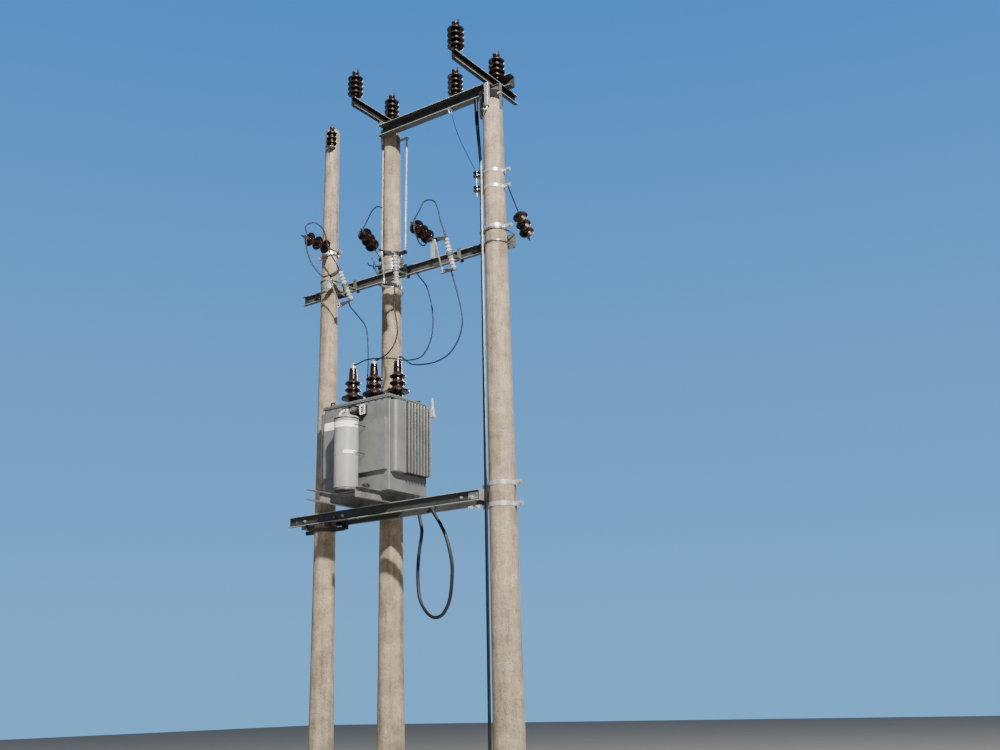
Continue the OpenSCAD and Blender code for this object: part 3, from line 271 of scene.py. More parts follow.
# %% Extruded polyethylene jacket
jacket, tree, shader, where = start_finish("extruded_black_polyethylene", Roughness=0.45, IOR=1.5)
dust = add(tree, "TexNoise", {"Vector": where, "Scale": per_mm(35), "Detail": 5})
tone = add(tree, "ValToRGB", {"Fac": dust}, stops=((0.35, "#030304"), (0.75, "#0c0d0e")))
matt = add(tree, "ValToRGB", {"Fac": dust}, stops=((0.3, 0.5), (0.75, 0.7)))
die = add(tree, "Mapping", {"Vector": add(tree, "UVMap", uv_map="jacket"), "Scale": (40, 3, 1)})
lines = add(tree, "TexNoise", {"Vector": die, "Scale": 1, "Detail": 2})
ridges = add(tree, "Bump", {"Height": lines, "Distance": 0.00015, "Strength": 0.5})
feed(shader, {"Base Color": tone, "Roughness": matt, "Normal": ridges})

# %% Lay the cables
ends = []
for name, ((diameter, stiffness), route) in routes.items():
    cable, points, length, ways = sweep(name + "_cable", route, diameter / 2)
    cable.data.materials.append(jacket)
    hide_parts(name)
    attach(cable, "substation")
    ends += [(diameter / 2, point, way) for point, way in zip((route[0], route[-1]), ways)]
    print(name, round(length, 3), "m")

# %% [markdown]
# ## Spun concrete
# The poles are spun in a steel mould: the wall is dense, grey to tan, with small air pits, a seam
# on each side where the mould closed, and dark runs where rain has washed dirt down from the
# bands. Sand shows as a fine speckle. The pattern is laid out round each pole's own axis, so the
# runs follow the skin. The speckle is drawn at 9 mm, coarser than real sand, so that it shows.

# %% Finish of a concrete pole
pole_at = {"left_pole": (-2.7, 0), "middle_pole": (-2.06, 0.52), "right_pole": (0, 0)}
mean_radius = 0.14


def spun_concrete(name, seed):
    finish, tree, shader, where = start_finish("spun_concrete_" + name, Roughness=0.88, IOR=1.5)
    x, y = pole_at[name]
    middle = add(tree, "Mapping", {"Vector": where, "Location": (-x, -y, 0)})
    parts = add(tree, "SeparateXYZ", {"Vector": middle}).outputs
    angle = add(tree, "Math", {0: parts["Y"], 1: parts["X"]}, operation="ARCTAN2")
    girth = add(tree, "Math", {0: angle, 1: mean_radius}, **times)
    skin = add(tree, "CombineXYZ", {"X": girth, "Y": seed, "Z": parts["Z"]})
    drawn = add(tree, "Mapping", {"Vector": skin, "Scale": (1, 1, 0.09)})
    runs = add(tree, "TexNoise", {"Vector": drawn, "Scale": per_mm(70), "Detail": 6,
                                  "Roughness": 0.7})
    clouds = add(tree, "TexNoise", {"Vector": skin, "Scale": per_mm(190), "Detail": 6,
                                    "Roughness": 0.68})
    sand = add(tree, "TexNoise", {"Vector": where, "Scale": per_mm(9), "Detail": 3,
                                  "Roughness": 0.8})
    pits = add(tree, "TexVoronoi", {"Vector": where, "Scale": per_mm(38), "Randomness": 1})
    base = add(tree, "ValToRGB", {"Fac": clouds}, stops=(
        (0.3, "#7b7164"), (0.72, "#aea493"), (0.5, "#968b7c")))
    turn = add(tree, "Math", {0: angle}, operation="SINE")
    seam = add(tree, "Math", {0: turn}, operation="ABSOLUTE")
    for pattern, weight, low, high, shade in (
            (runs, 0.6, 0.3, 0.55, "#7d756b"), (sand, 0.85, 0.36, 0.6, "#8f887e"),
            (pits, 0.85, 0.09, 0.17, "#4a433b"), (seam, 0.5, 0, 0.03, "#7d7366")):
        tint = add(tree, "ValToRGB", {"Fac": pattern}, stops=((low, shade), (high, "#ffffff")))
        base = add(tree, "Mix", {0: weight, 6: base, 7: tint}, **multiplied)
    grain = add(tree, "Bump", {"Height": sand, "Distance": 0.0012, "Strength": 0.6})
    holes = add(tree, "ValToRGB", {"Fac": pits}, stops=((0.05, 0.0), (0.15, 1.0)))
    dents = add(tree, "Bump", {"Height": holes, "Distance": 0.003, "Strength": 0.7,
                               "Normal": grain})
    feed(shader, {"Base Color": base, "Normal": dents})
    return finish


for name, seed in zip(pole_at, (1, 5, 9)):
    paint_nodes(spun_concrete(name, seed), name)
print("concrete on three poles")

# %% [markdown]
# ## Galvanised steel
# Channels and bands are hot-dip galvanised. New zinc is bright with a frost of crystals. After
# some years the channels dull to a lead grey, mottled at the size of the crystals, about 15 mm,
# with dark runs from the bolts, and reflect little. Bands are newer and stay brighter. Small
# fittings on the porcelain are the darkest, grey-black from years of soot.


# %% Galvanised finishes
def galvanised(name, dark, light, roughness, metallic, shine=0.5):
    finish, tree, shader, where = start_finish(name, Metallic=metallic, Roughness=roughness)
    crystals = add(tree, "TexVoronoi", {"Vector": where, "Scale": per_mm(15)})
    frost = add(tree, "SeparateColor", {"Color": crystals.outputs["Color"]}).outputs["Red"]
    dirt = add(tree, "TexNoise", {"Vector": where, "Scale": per_mm(140), "Detail": 6,
                                  "Roughness": 0.68})
    body = add(tree, "ValToRGB", {"Fac": dirt}, stops=((0.3, dark), (0.7, light)))
    pale = add(tree, "ValToRGB", {"Fac": frost}, stops=((0, "#c0c5ca"), (1, "#ffffff")))
    mottled = add(tree, "Mix", {0: 0.45, 6: body, 7: pale}, **multiplied)
    drawn = add(tree, "Mapping", {"Vector": where, "Scale": (1, 1, 0.12)})
    stains = add(tree, "TexNoise", {"Vector": drawn, "Scale": per_mm(60), "Detail": 5})
    brown = add(tree, "ValToRGB", {"Fac": stains}, stops=((0.3, "#8d857b"), (0.5, "#ffffff")))
    base = add(tree, "Mix", {0: 0.3, 6: mottled, 7: brown}, **multiplied)
    matt = add(tree, "ValToRGB", {"Fac": frost}, stops=(
        (0, roughness - 0.08), (1, roughness + 0.1)))
    skin = add(tree, "TexNoise", {"Vector": where, "Scale": per_mm(5), "Detail": 3})
    rough = add(tree, "Bump", {"Height": skin, "Distance": 0.0003, "Strength": 0.35})
    feed(shader, {"Base Color": base, "Roughness": matt, "Normal": rough,
                  "Specular IOR Level": shine})
    return finish


# Darker past a plane across the axis, where one node holds both. Mostly this is painted shade: on
# the shaded webs of channels, between the fins near the wall, at the canister's foot and on the
# collar under the platform. On the pipes it is the dark sleeve's and the cable's own colour, and
# the middle pole's string bands are simply made darker. A fold is a maths operation and its
# values: it first brings the alike places of several pieces together.
def painted_shade_and_tone_past(finish, axis, limit, shade, beyond="GREATER_THAN", *folds):
    tree = finish.node_tree
    shader = next(n for n in tree.nodes if n.type == "BSDF_PRINCIPLED")
    base = shader.inputs["Base Color"].links[0].from_socket
    where = next(n for n in tree.nodes if n.type == "TEX_COORD").outputs["Object"]
    place = add(tree, "SeparateXYZ", {"Vector": where}).outputs[axis]
    for operation, *values in folds:
        place = add(tree, "Math", dict(enumerate([place, *values])), operation=operation)
    past = add(tree, "Math", {0: place, 1: limit}, operation=beyond)
    darkened = add(tree, "Mix", {0: past, 6: base, 7: colour(shade)}, **multiplied)
    feed(shader, {"Base Color": darkened})


dull, bright = ("#8d9192", "#b9bcbc"), ("#a4a7a8", "#d6d8d8")
channel_zinc = galvanised("weathered_galvanised_channel", "#5d6162", "#8b8f90", 0.5, 0.4)
sooty_steel = galvanised("sooty_steel", "#0e0f10", "#242628", 0.8, 0.1, 0.15)
band_zinc = galvanised("bright_galvanised_band", *bright, 0.38, 0.7)
fitting_zinc = galvanised("dark_weathered_fitting", "#24272a", "#474c50", 0.55, 0.4)
clamp_zinc = galvanised("grey_galvanised_clamp", "#4e5254", "#868b8d", 0.42, 0.5)
cast_zinc = galvanised("cast_dark_contact", "#303335", "#5c5f61", 0.42, 0.6)
paint_nodes(channel_zinc, "cross_channels")
paint_nodes(band_zinc, "hv_bushing_terminals", "platform_end_bracket")
paint_nodes(fitting_zinc, "post_insulator_fittings", "strain_fittings", "tank_fittings")
paint_nodes(clamp_zinc, "crossarm_clamps", "cutout_mounts", "top_brackets")
paint_nodes(cast_zinc, "cutout_contacts")
pitch_of_arms = 1.03
# Painted shade: each channel is darker behind its flange edges, where the web lies in the flanges'
# shade, and stays bright at the edges that catch the sun.
for node, name, past in (
        ("platform_beams", "galvanised_beam_painted_shade_on_web",
         ("Y", 0.1855, "#686c6d", "LESS_THAN", ("ABSOLUTE",))),
        ("top_arms", "galvanised_arm_painted_shade_on_web",
         ("X", 0.0272, "#3a3c3d", "LESS_THAN", ("WRAP", pitch_of_arms, -pitch_of_arms))),
        ("top_beam", "dull_galvanised_top_beam_painted_shade", ("Y", 0.2465, "#74797a")),
        ("cutout_crossarm", "dull_galvanised_crossarm_painted_shade", ("Y", 0.1365, "#7b7f80"))):
    finish = galvanised(name, *dull, 0.48, 0.45)
    painted_shade_and_tone_past(finish, *past)
    paint_nodes(finish, node)
for node, name, past in (
        # Painted shade: the collar on the left pole, past x = -2 under the platform, is darker
        # than the bright bands.
        ("platform_bands", "bright_band_and_collar_in_painted_shade", ("X", -2, "#5c5f61", "LESS_THAN")),
        ("strain_bands", "bright_and_dark_string_bands", ("Y", 0.3, "#45484a"))):
    finish = galvanised(name, *bright, 0.38, 0.6)
    painted_shade_and_tone_past(finish, *past)
    paint_nodes(finish, node)
print(len(bpy.data.materials), "finishes so far")

# %% [markdown]
# ## Glazed porcelain
# The insulators are wet-process porcelain dipped in a brown glaze and fired. The glaze is glassy
# and nearly black where it is thick, and redder where it thins over the sheds' rims. A clear coat
# over a dark brown body gives that deep, wet look. Dust dulls the tops of the sheds.

# %% Brown glaze
glaze, tree, shader, where = start_finish("brown_glazed_porcelain", Roughness=0.2, IOR=1.5)
pool = add(tree, "TexNoise", {"Vector": where, "Scale": per_mm(60), "Detail": 3})
brown = add(tree, "ValToRGB", {"Fac": pool}, stops=(
    (0.3, "#080403"), (0.8, "#22110c"), (0.58, "#120806")))
facing = add(tree, "NewGeometry").outputs["Normal"]
up = add(tree, "SeparateXYZ", {"Vector": facing}).outputs["Z"]
lying = add(tree, "ValToRGB", {"Fac": up}, stops=((0.35, 0.0), (0.95, 0.3)))
specks = add(tree, "TexNoise", {"Vector": where, "Scale": per_mm(22), "Detail": 5})
film = add(tree, "Math", {0: lying, 1: specks}, **times)
dusty = add(tree, "Mix", {0: film, 6: brown, 7: colour("#7b6f66")}, **mixed)
glass = add(tree, "ValToRGB", {"Fac": specks}, stops=((0.35, 0.18), (0.7, 0.34)))
wave = add(tree, "Bump", {"Height": pool, "Distance": 0.0004, "Strength": 0.3})
feed(shader, {"Base Color": dusty, "Roughness": glass, "Normal": wave, "Coat Weight": 0.15,
              "Coat Roughness": 0.08, "Specular IOR Level": 0.35})
paint_nodes(glaze, "post_insulators", "strain_insulators", "hv_bushings", "lv_bushings",
            "spool_insulators")
print("glaze on the insulators and bushings")

# %% [markdown]
# ## Tank paint
# The tank and the canister are steel sheet with sprayed enamel. It has a fine orange peel, dust
# lies on the faces that look up, grime gathers in cloudy patches, and rain draws faint runs down
# the walls. The fins are painted darker near the wall, as painted shade between them, and the
# canister's foot darker, as painted shade under it. Orange peel is drawn at 3 mm, a little
# coarser than it is.


# %% Sprayed enamel
def enamel(name, dark, light, dust_tone, run_weight=0.3):
    finish, tree, shader, where = start_finish(name, Roughness=0.36, IOR=1.5)
    clouds = add(tree, "TexNoise", {"Vector": where, "Scale": per_mm(260), "Detail": 5,
                                    "Roughness": 0.6})
    body = add(tree, "ValToRGB", {"Fac": clouds}, stops=((0.3, dark), (0.7, light)))
    drawn = add(tree, "Mapping", {"Vector": where, "Scale": (1, 1, 0.1)})
    runs = add(tree, "TexNoise", {"Vector": drawn, "Scale": per_mm(110), "Detail": 6,
                                  "Roughness": 0.65})
    washed = add(tree, "ValToRGB", {"Fac": runs}, stops=((0.32, "#9f978b"), (0.5, "#ffffff")))
    streaked = add(tree, "Mix", {0: run_weight, 6: body, 7: washed}, **multiplied)
    facing = add(tree, "NewGeometry").outputs["Normal"]
    up = add(tree, "SeparateXYZ", {"Vector": facing}).outputs["Z"]
    lying = add(tree, "ValToRGB", {"Fac": up}, stops=((0.5, 0.0), (0.95, 1.0)))
    specks = add(tree, "TexNoise", {"Vector": where, "Scale": per_mm(12), "Detail": 5})
    film = add(tree, "Math", {0: lying, 1: specks}, **times)
    base = add(tree, "Mix", {0: film, 6: streaked, 7: colour(dust_tone)}, **mixed)
    matt = add(tree, "ValToRGB", {"Fac": runs}, stops=((0.3, 0.46), (0.7, 0.3)))
    peel = add(tree, "TexNoise", {"Vector": where, "Scale": per_mm(3), "Detail": 2})
    skin = add(tree, "Bump", {"Height": peel, "Distance": 0.00012, "Strength": 0.35})
    feed(shader, {"Base Color": base, "Roughness": matt, "Normal": skin, "Coat Weight": 0.45,
                  "Coat Roughness": 0.2})
    return finish


tank_grey = ("#54595b", "#676c6e", "#858076")
tank_middle_x, first_gap = -1.875, 0.63
# Painted shade: the fins are darker in their inner part near the tank's wall, where they shade
# each other.
gap_enamel = enamel("sprayed_enamel_painted_shade_between_fins", *tank_grey)
painted_shade_and_tone_past(gap_enamel, "X", first_gap, "#9b9c9a", "LESS_THAN", ("ADD", -tank_middle_x),
           ("ABSOLUTE",))
tank_enamel = enamel("sprayed_grey_enamel", *tank_grey)
canister_enamel = enamel("sprayed_light_enamel", "#7b7f80", "#8f9395", "#a09b91", 0.15)
# Painted shade: the canister's lowest 15 mm are darker, as the shade under it.
painted_shade_and_tone_past(canister_enamel, "Z", 3.972, "#6a6c6d", "LESS_THAN")
white_enamel = enamel("brushed_white_enamel", "#dcdedd", "#f2f2f0", "#cfc9bd", 0.15)
paint_nodes(tank_enamel, "transformer_tank", "tank_cover", "end_fins", "front_panel",
            "lv_cable_box")
paint_nodes(canister_enamel, "canister", "canister_fittings")
paint_nodes(white_enamel, "canister_bands")
print("enamel on the tank and the canister")

# %% [markdown]
# ## Moulded and extruded polymers
# The fuse cutouts' bodies are moulded from a pale grey polymer, the fuse tubes are filament wound
# glass fibre, and the pipes on the poles are extruded from grey plastic. All are matt. Sun and
# soot leave grey clouds on them, and each has the marks of its making: fine moulding texture, the
# wound fibre's rings, or lines along an extrusion.


# %% Polymer finishes
def polymer(name, dark, light, roughness, size_mm, stretch):
    finish, tree, shader, where = start_finish(name, Roughness=roughness, IOR=1.46)
    soot = add(tree, "TexNoise", {"Vector": where, "Scale": per_mm(90), "Detail": 5})
    tone = add(tree, "ValToRGB", {"Fac": soot}, stops=((0.3, dark), (0.65, light)))
    drawn = add(tree, "Mapping", {"Vector": where, "Scale": stretch})
    marks = add(tree, "TexNoise", {"Vector": drawn, "Scale": per_mm(size_mm), "Detail": 3})
    skin = add(tree, "Bump", {"Height": marks, "Distance": 0.0002, "Strength": 0.4})
    feed(shader, {"Base Color": tone, "Normal": skin})
    return finish


pipe_skin = ("#5c6063", "#8c9093", 0.32, 6, (1, 1, 0.05))
cutout_polymer = polymer("moulded_grey_polymer", "#7d8081", "#a9abab", 0.5, 4, (1, 1, 1))
tube_fibre = polymer("wound_glass_fibre_tube", "#4c463e", "#857d70", 0.28, 3, (1, 1, 3))
pipe_plastic = polymer("extruded_pale_pipe", *pipe_skin)
sleeved_pipe = polymer("pale_pipe_under_dark_sleeve", *pipe_skin)
for axis, *past in (("Z", 8.6, "#34373a"), ("X", -0.1315, "#34373a", "LESS_THAN")):
    painted_shade_and_tone_past(sleeved_pipe, axis, *past)
paint_nodes(cutout_polymer, "cutout_insulators", "corner_vent")
paint_nodes(tube_fibre, "left_fuse_tube", "middle_fuse_tube", "right_fuse_tube")
paint_nodes(pipe_plastic, "middle_pole_pipes")
paint_nodes(sleeved_pipe, "right_pole_pipes")
print(len(bpy.data.materials), "finishes")

# %% [markdown]
# ## Small parts in mesh code
# The frame has the main forms. What a fitter adds to them is made here piece by piece: folded
# sheet, pressed bands, turned ferrules and bent pipe. Each comes from one of a few moves: a block
# with its edges broken, a profile turned about an axis, an outline raised to a height, a round
# bar bent along a route, and an arc of strip. Edges above 35 degrees stay crisp, all others are
# smoothed.


# %% Moves for small parts
def block(mesh, low, high, edge=0.001, turn=None):
    made = bmesh.ops.create_cube(mesh, size=1.0)["verts"]
    centre, size = (Vector(low) + Vector(high)) / 2, Vector(high) - Vector(low)
    for vert in made:
        vert.co = centre + Vector([c * s for c, s in zip(vert.co, size)])
    edges = list(dict.fromkeys(line for vert in made for line in vert.link_edges))
    if turn is not None:
        bmesh.ops.transform(mesh, matrix=turn, verts=made)
    if edge:
        bmesh.ops.bevel(mesh, geom=edges, offset=edge, segments=1, affect="EDGES")


def turned(mesh, foot, axis, profile, sides=28, loop=False):
    axis = Vector(axis).normalized()
    side = axis.orthogonal().normalized()
    other = axis.cross(side)
    rings = [circle(mesh, Vector(foot) + axis * along, side, other, radius, sides if radius else 1)
             for along, radius in profile]
    for low, high in zip(rings, rings[1:] + (rings[:1] if loop else [])):
        for k in range(sides):
            corners = [low[k % len(low)], low[(k + 1) % len(low)],
                       high[(k + 1) % len(high)], high[k % len(high)]]
            corners = [c for i, c in enumerate(corners) if c not in corners[:i]]
            if len(corners) > 2:
                mesh.faces.new(corners)


def drum(radius, height):
    return [(0, 0), (0, radius), (height, radius), (height, 0)]


def eye_ring(mesh, centre, axis, radius, tall, wide, sides):
    turns = (2 * math.pi * k / 8 for k in range(8))
    turned(mesh, centre, axis, [(tall * math.sin(a), radius + wide * math.cos(a)) for a in turns],
           sides, loop=True)


def bar(mesh, start, end, radius, sides=20):
    length = (Vector(end) - Vector(start)).length
    rim = min(radius * 0.15, 0.002)
    turned(mesh, start, Vector(end) - Vector(start), [
        (0, 0), (0, radius - rim), (rim, radius), (length - rim, radius), (length, radius - rim),
        (length, 0)], sides)


def rounded(corners, steps=8):
    points = []
    for i, (x, y, radius) in enumerate(corners):
        here = Vector((x, y))
        back = (Vector(corners[i - 1][:2]) - here).normalized()
        on = (Vector(corners[(i + 1) % len(corners)][:2]) - here).normalized()
        if not radius:
            points.append(here)
            continue
        half = back.angle(on) / 2
        centre = here + (back + on).normalized() * radius / math.sin(half)
        a = here + back * radius / math.tan(half) - centre
        b = here + on * radius / math.tan(half) - centre
        angle = a.angle(b)
        points += [centre + (math.sin((1 - k / steps) * angle) * a
                             + math.sin(k / steps * angle) * b) / math.sin(angle)
                   for k in range(steps + 1)]
    return points


def bridge(mesh, rings):
    for low, high in zip(rings, rings[1:]):
        for k in range(len(low)):
            m = (k + 1) % len(low)
            mesh.faces.new((low[k], low[m], high[m], high[k]))
    mesh.faces.new(rings[0])
    mesh.faces.new(rings[-1])


def raised(mesh, outline, levels):
    outward = []
    for i, point in enumerate(outline):
        along = (outline[(i + 1) % len(outline)] - outline[i - 1]).normalized()
        outward.append(Vector((along.y, -along.x)))
    area = sum(a.x * b.y - b.x * a.y for a, b in zip(outline, outline[1:] + outline[:1]))
    turn = 1 if area > 0 else -1
    bridge(mesh, [[mesh.verts.new((*(p - n * inset * turn), z)) for p, n in zip(outline, outward)]
                  for z, inset in levels])


def bent(mesh, route, radius, sides=14, steps=6):
    points = smooth(route, steps)
    side, rings = Vector((0.3, 1, 0.2)), []
    for point, along in zip(points, headings(points)):
        side = (side - along * side.dot(along)).normalized()
        rings.append(circle(mesh, point, side, along.cross(side), radius, sides))
    bridge(mesh, rings)


def arc(mesh, centre, inner, outer, low, high, start, end, steps=40, arch=0.0):
    rings = []
    for k in range(steps + 1):
        a = math.radians(start + (end - start) * k / steps)
        foot = low + arch * abs(math.sin(math.pi * k / steps)) ** 0.6
        rings.append([mesh.verts.new((centre[0] + r * math.cos(a), centre[1] + r * math.sin(a), z))
                      for r, z in ((inner, foot), (outer, foot), (outer, high), (inner, high))])
    bridge(mesh, rings)


def keep_piece(mesh, name, finish, body="substation", stands_for=()):
    bmesh.ops.recalc_face_normals(mesh, faces=mesh.faces)
    for face in mesh.faces:
        face.smooth = True
    for edge in mesh.edges:
        edge.smooth = len(edge.link_faces) == 2 and edge.calc_face_angle() < math.radians(35)
    data = bpy.data.meshes.new(name)
    mesh.to_mesh(data)
    mesh.free()
    piece = stand(name, data)
    data.materials.append(finish)
    if stands_for:
        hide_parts(*stands_for)
    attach(piece, body)
    print(name, len(data.polygons), "faces")


# %% [markdown]
# ## Ducts and fins on the tank's ends
# Hot oil circulates through a wide duct and a row of thin hollow fins on each end of the tank.
# They are folded from steel sheet, so the duct's outer corner is a wide round and each fin's edge
# is a tight fold. An outline raised to a height gives both; the ends are drawn in a little, as
# the sheet is pinched before it is welded shut. The fins' places follow the frame's box.


# %% Ducts and fins
def pinched(low, high, inset, depth):
    return [(low, inset), (low + depth, 0), (high - depth, 0), (high, inset)]


fin_low, fin_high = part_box("end_fins")
tank_low, tank_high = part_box("transformer_tank")
front = fin_low[1]
duct_reach, duct_depth, duct_round, duct_fold = 0.092, 0.205, 0.055, 0.015
fin_count, first_fin, fin_pitch, fin_width, fin_round = 8, 0.215, 0.057, 0.010, 0.0045
ducts, fins = bmesh.new(), bmesh.new()
for wall, tip, outward in ((tank_low[0], fin_low[0], -1), (tank_high[0], fin_high[0], 1)):
    duct_tip, duct_rear = wall + outward * duct_reach, front + duct_depth
    raised(ducts, rounded([(wall, front, 0), (duct_tip, front, duct_round),
                           (duct_tip, duct_rear, duct_fold), (wall, duct_rear, 0)]),
           pinched(fin_low[2], fin_high[2], 0.006, 0.008))
    for i in range(fin_count):
        near = front + first_fin + i * fin_pitch - fin_width / 2
        far = near + fin_width
        raised(fins, rounded([(wall, near, 0), (tip, near, fin_round), (tip, far, fin_round),
                              (wall, far, 0)], 4),
               pinched(fin_low[2] + 0.004, fin_high[2] - 0.004, 0.002, 0.010))
keep_piece(ducts, "folded_ducts", tank_enamel, stands_for=("end_fins",))
keep_piece(fins, "folded_fins", gap_enamel)

# %% [markdown]
# ## The tank's flange and gasket
# The cover is bolted down on a flange round the tank's top with a cork gasket between them. From
# below that reads as two thin steel edges with a dark line between. A dark strip on each end wall
# over the fins is painted shade, the shade under the cover's edge. A rounded outline raised a few
# millimetres makes the flange and the gasket, and blocks make the strips.


# %% Flange and gasket
def tank_outline(outset, radius=0.02):
    left, right, front = tank_low[0] - outset, tank_high[0] + outset, tank_low[1] - outset
    return rounded([(left, front, radius), (right, front, radius), (right, tank_high[1], radius),
                    (left, tank_high[1], radius)])


flange = bmesh.new()
raised(flange, tank_outline(0.014), pinched(5.070, 5.0805, 0.001, 0.001))
keep_piece(flange, "tank_flange", tank_enamel)
gasket = bmesh.new()
raised(gasket, tank_outline(0.0115), pinched(5.080, 5.0875, 0.001, 0.001))
# Painted shade: a dark strip on each end wall under the cover's edge stands for the shade that the
# edge casts over the fins.
for x in (tank_low[0] - 0.006, tank_high[0]):
    block(gasket, (x, tank_low[1] + 0.02, 5.048), (x + 0.006, tank_high[1] - 0.02, 5.0705))
keep_piece(gasket, "cover_gasket_and_shade_strips", sooty_steel)

# %% [markdown]
# ## Straps and blank sheets of the canister
# Two steel straps hold the canister, and a dark rod on each side draws them back to the panel.
# They were painted with the canister, so only their edges, lugs and bolts and the blank white
# sheets stuck over them show. The straps are thin half rings with lugs, the sheets are arcs a
# millimetre proud, and a rolled rim closes the canister at each end.

# %% Canister straps, sheets and rims
can_x, can_y, can_base, can_r = -1.843, -0.567, 3.957, 0.145
panel_face, lug_middle = -0.4102, can_r + 0.0105
straps, rods = bmesh.new(), bmesh.new()
for low, high in ((4.382, 4.426), (4.712, 4.772)):
    arc(straps, (can_x, can_y), can_r, can_r + 0.003, low, high, -180, 0)
    for side in (-1, 1):
        rod_x, middle = can_x + side * lug_middle, (low + high) / 2
        block(straps, (rod_x - 0.009, can_y - 0.003, low + 0.008),
              (rod_x + 0.009, can_y, high - 0.008), 0.0008)
        bar(rods, (rod_x, can_y - 0.001, middle), (rod_x, panel_face, middle), 0.004, 12)
keep_piece(rods, "strap_rods", sooty_steel)
keep_piece(straps, "canister_straps", canister_enamel, stands_for=("canister_bands",))
sheets = bmesh.new()
for low, high, start, end in ((4.706, 4.778, -176, 12), (4.386, 4.424, -64, 4)):
    arc(sheets, (can_x, can_y), can_r + 0.0025, can_r + 0.0045, low, high, start, end)
block(sheets, (-2.347, -0.4135, 4.785), (-2.19, -0.4103, 4.882))
rivet = [(0, 0.0045), (0.001, 0.0042), (0.0022, 0.002), (0.0024, 0)]
for x in (-2.338, -2.199):
    for z in (4.794, 4.873):
        turned(sheets, (x, -0.4134, z), (0, -1, 0), rivet, 12)
keep_piece(sheets, "blank_white_sheets", white_enamel)
rims = bmesh.new()
for z, inner, outer, tall in ((0.858, 0.001, 0.006, 0.014), (0.022, -0.001, 0.003, 0.009)):
    turned(rims, (can_x, can_y, can_base + z), (0, 0, 1), [
        (0, can_r + inner), (0.002, can_r + outer), (tall - 0.002, can_r + outer),
        (tall, can_r + inner)], 64, loop=True)
keep_piece(rims, "canister_rims", sooty_steel)

# %% [markdown]
# ## Pipework over the canister
# A white elbow comes down on the left of the lid, and a neck and a nut stand in the middle. A dark
# valve sits on the pipe that runs back to the tank, with more bent pipe about it and three small
# handwheels. Turned profiles make the flanges and nuts, and bent bar makes the pipes. Places are
# counted from the middle of the lid.


# %% Elbow, neck and valve
def over_lid(x, y, z):
    return Vector((can_x + x, can_y + y, can_base + 0.921 + z))


elbow = bmesh.new()
bent(elbow, [over_lid(-0.01, 0, 0.05), over_lid(-0.05, 0, 0.052), over_lid(-0.082, 0, 0.043),
             over_lid(-0.1, 0, 0.02), over_lid(-0.106, 0, -0.03)], 0.021, 24)
turned(elbow, over_lid(-0.106, 0, -0.03), (0, 0, 1), [
    (0, 0), (0, 0.03), (0.01, 0.03), (0.012, 0.026), (0.012, 0)])
turned(elbow, over_lid(-0.03, 0, 0.051), (-1, 0, 0), drum(0.026, 0.012))
keep_piece(elbow, "canister_elbow", white_enamel)
neck = bmesh.new()
turned(neck, over_lid(0, 0, 0), (0, 0, 1), [
    (0, 0), (0, 0.048), (0.012, 0.048), (0.016, 0.044), (0.018, 0.028), (0.052, 0.026),
    (0.054, 0.03), (0.068, 0.028), (0.078, 0.018), (0.08, 0)], 40)
turned(neck, over_lid(0, 0, 0.03), (0, 0, 1), drum(0.036, 0.018), 6)
keep_piece(neck, "canister_neck", canister_enamel, stands_for=("canister_fittings",))
valve = bmesh.new()


def handwheel(hub, way, across, radius, sides):
    eye_ring(valve, hub, way, radius, 0.004, 0.005, sides)
    for spoke in (across, way.cross(across)):
        bar(valve, hub - spoke * radius, hub + spoke * radius, 0.003, 8)


bar(valve, over_lid(0, 0, 0.04), over_lid(0, 0.2015, 0.04), 0.017)
turned(valve, over_lid(0, 0.2015, 0.04), (0, -1, 0), [
    (0, 0), (0, 0.035), (0.01, 0.035), (0.012, 0.03), (0.012, 0)])
turned(valve, over_lid(0, 0.107, 0.04), (0, 1, 0), [
    (0, 0), (0, 0.03), (0.008, 0.032), (0.04, 0.032), (0.048, 0.03), (0.048, 0)], 8)
bar(valve, over_lid(0, 0.131, 0.04), over_lid(0.055, 0.131, 0.075), 0.012)
handwheel(over_lid(0.06, 0.131, 0.078), Vector((0.055, 0, 0.035)).normalized(),
          Vector((0, 1, 0)), 0.03, 24)
bent(valve, [over_lid(0.02, 0.097, 0.02), over_lid(0.05, 0.107, 0), over_lid(0.085, 0.137, -0.01),
             over_lid(0.1, 0.167, -0.005), over_lid(0.1, 0.201, 0)], 0.007)
bent(valve, [over_lid(0.005, 0.02, 0.07), over_lid(0.012, 0.03, 0.1), over_lid(0.02, 0.06, 0.125),
             over_lid(0.02, 0.11, 0.135), over_lid(0.02, 0.185, 0.135)], 0.011)
turned(valve, over_lid(0.014, 0.032, 0.1), (0.1, 0.3, 1), [
    (0, 0), (0, 0.022), (0.006, 0.026), (0.022, 0.026), (0.028, 0.02), (0.028, 0)], 8)
for hub, way, stem_z in ((over_lid(-0.06, 0.05, 0.105), (0.3, -0.5, 0.8), 0.1),
                         (over_lid(0.085, 0.03, 0.03), (0.5, -0.6, 0.4), 0.035)):
    way = Vector(way).normalized()
    handwheel(hub, way, way.orthogonal().normalized(), 0.028, 20)
    bar(valve, hub, over_lid(0.012, 0.04, stem_z), 0.006, 12)
keep_piece(valve, "canister_valve", sooty_steel)

# %% [markdown]
# ## Bolts with Geometry Nodes
# About a hundred bolt heads sit on the steel. All are alike but for size and place: a washer, a
# hexagon and the end of a thread. One tree makes them from a cloud of points, each with the
# direction that it faces. The tree turns the head to that direction, spins it by chance from a
# fixed seed, as a spanner leaves it, makes the copies real and gives them their finish.

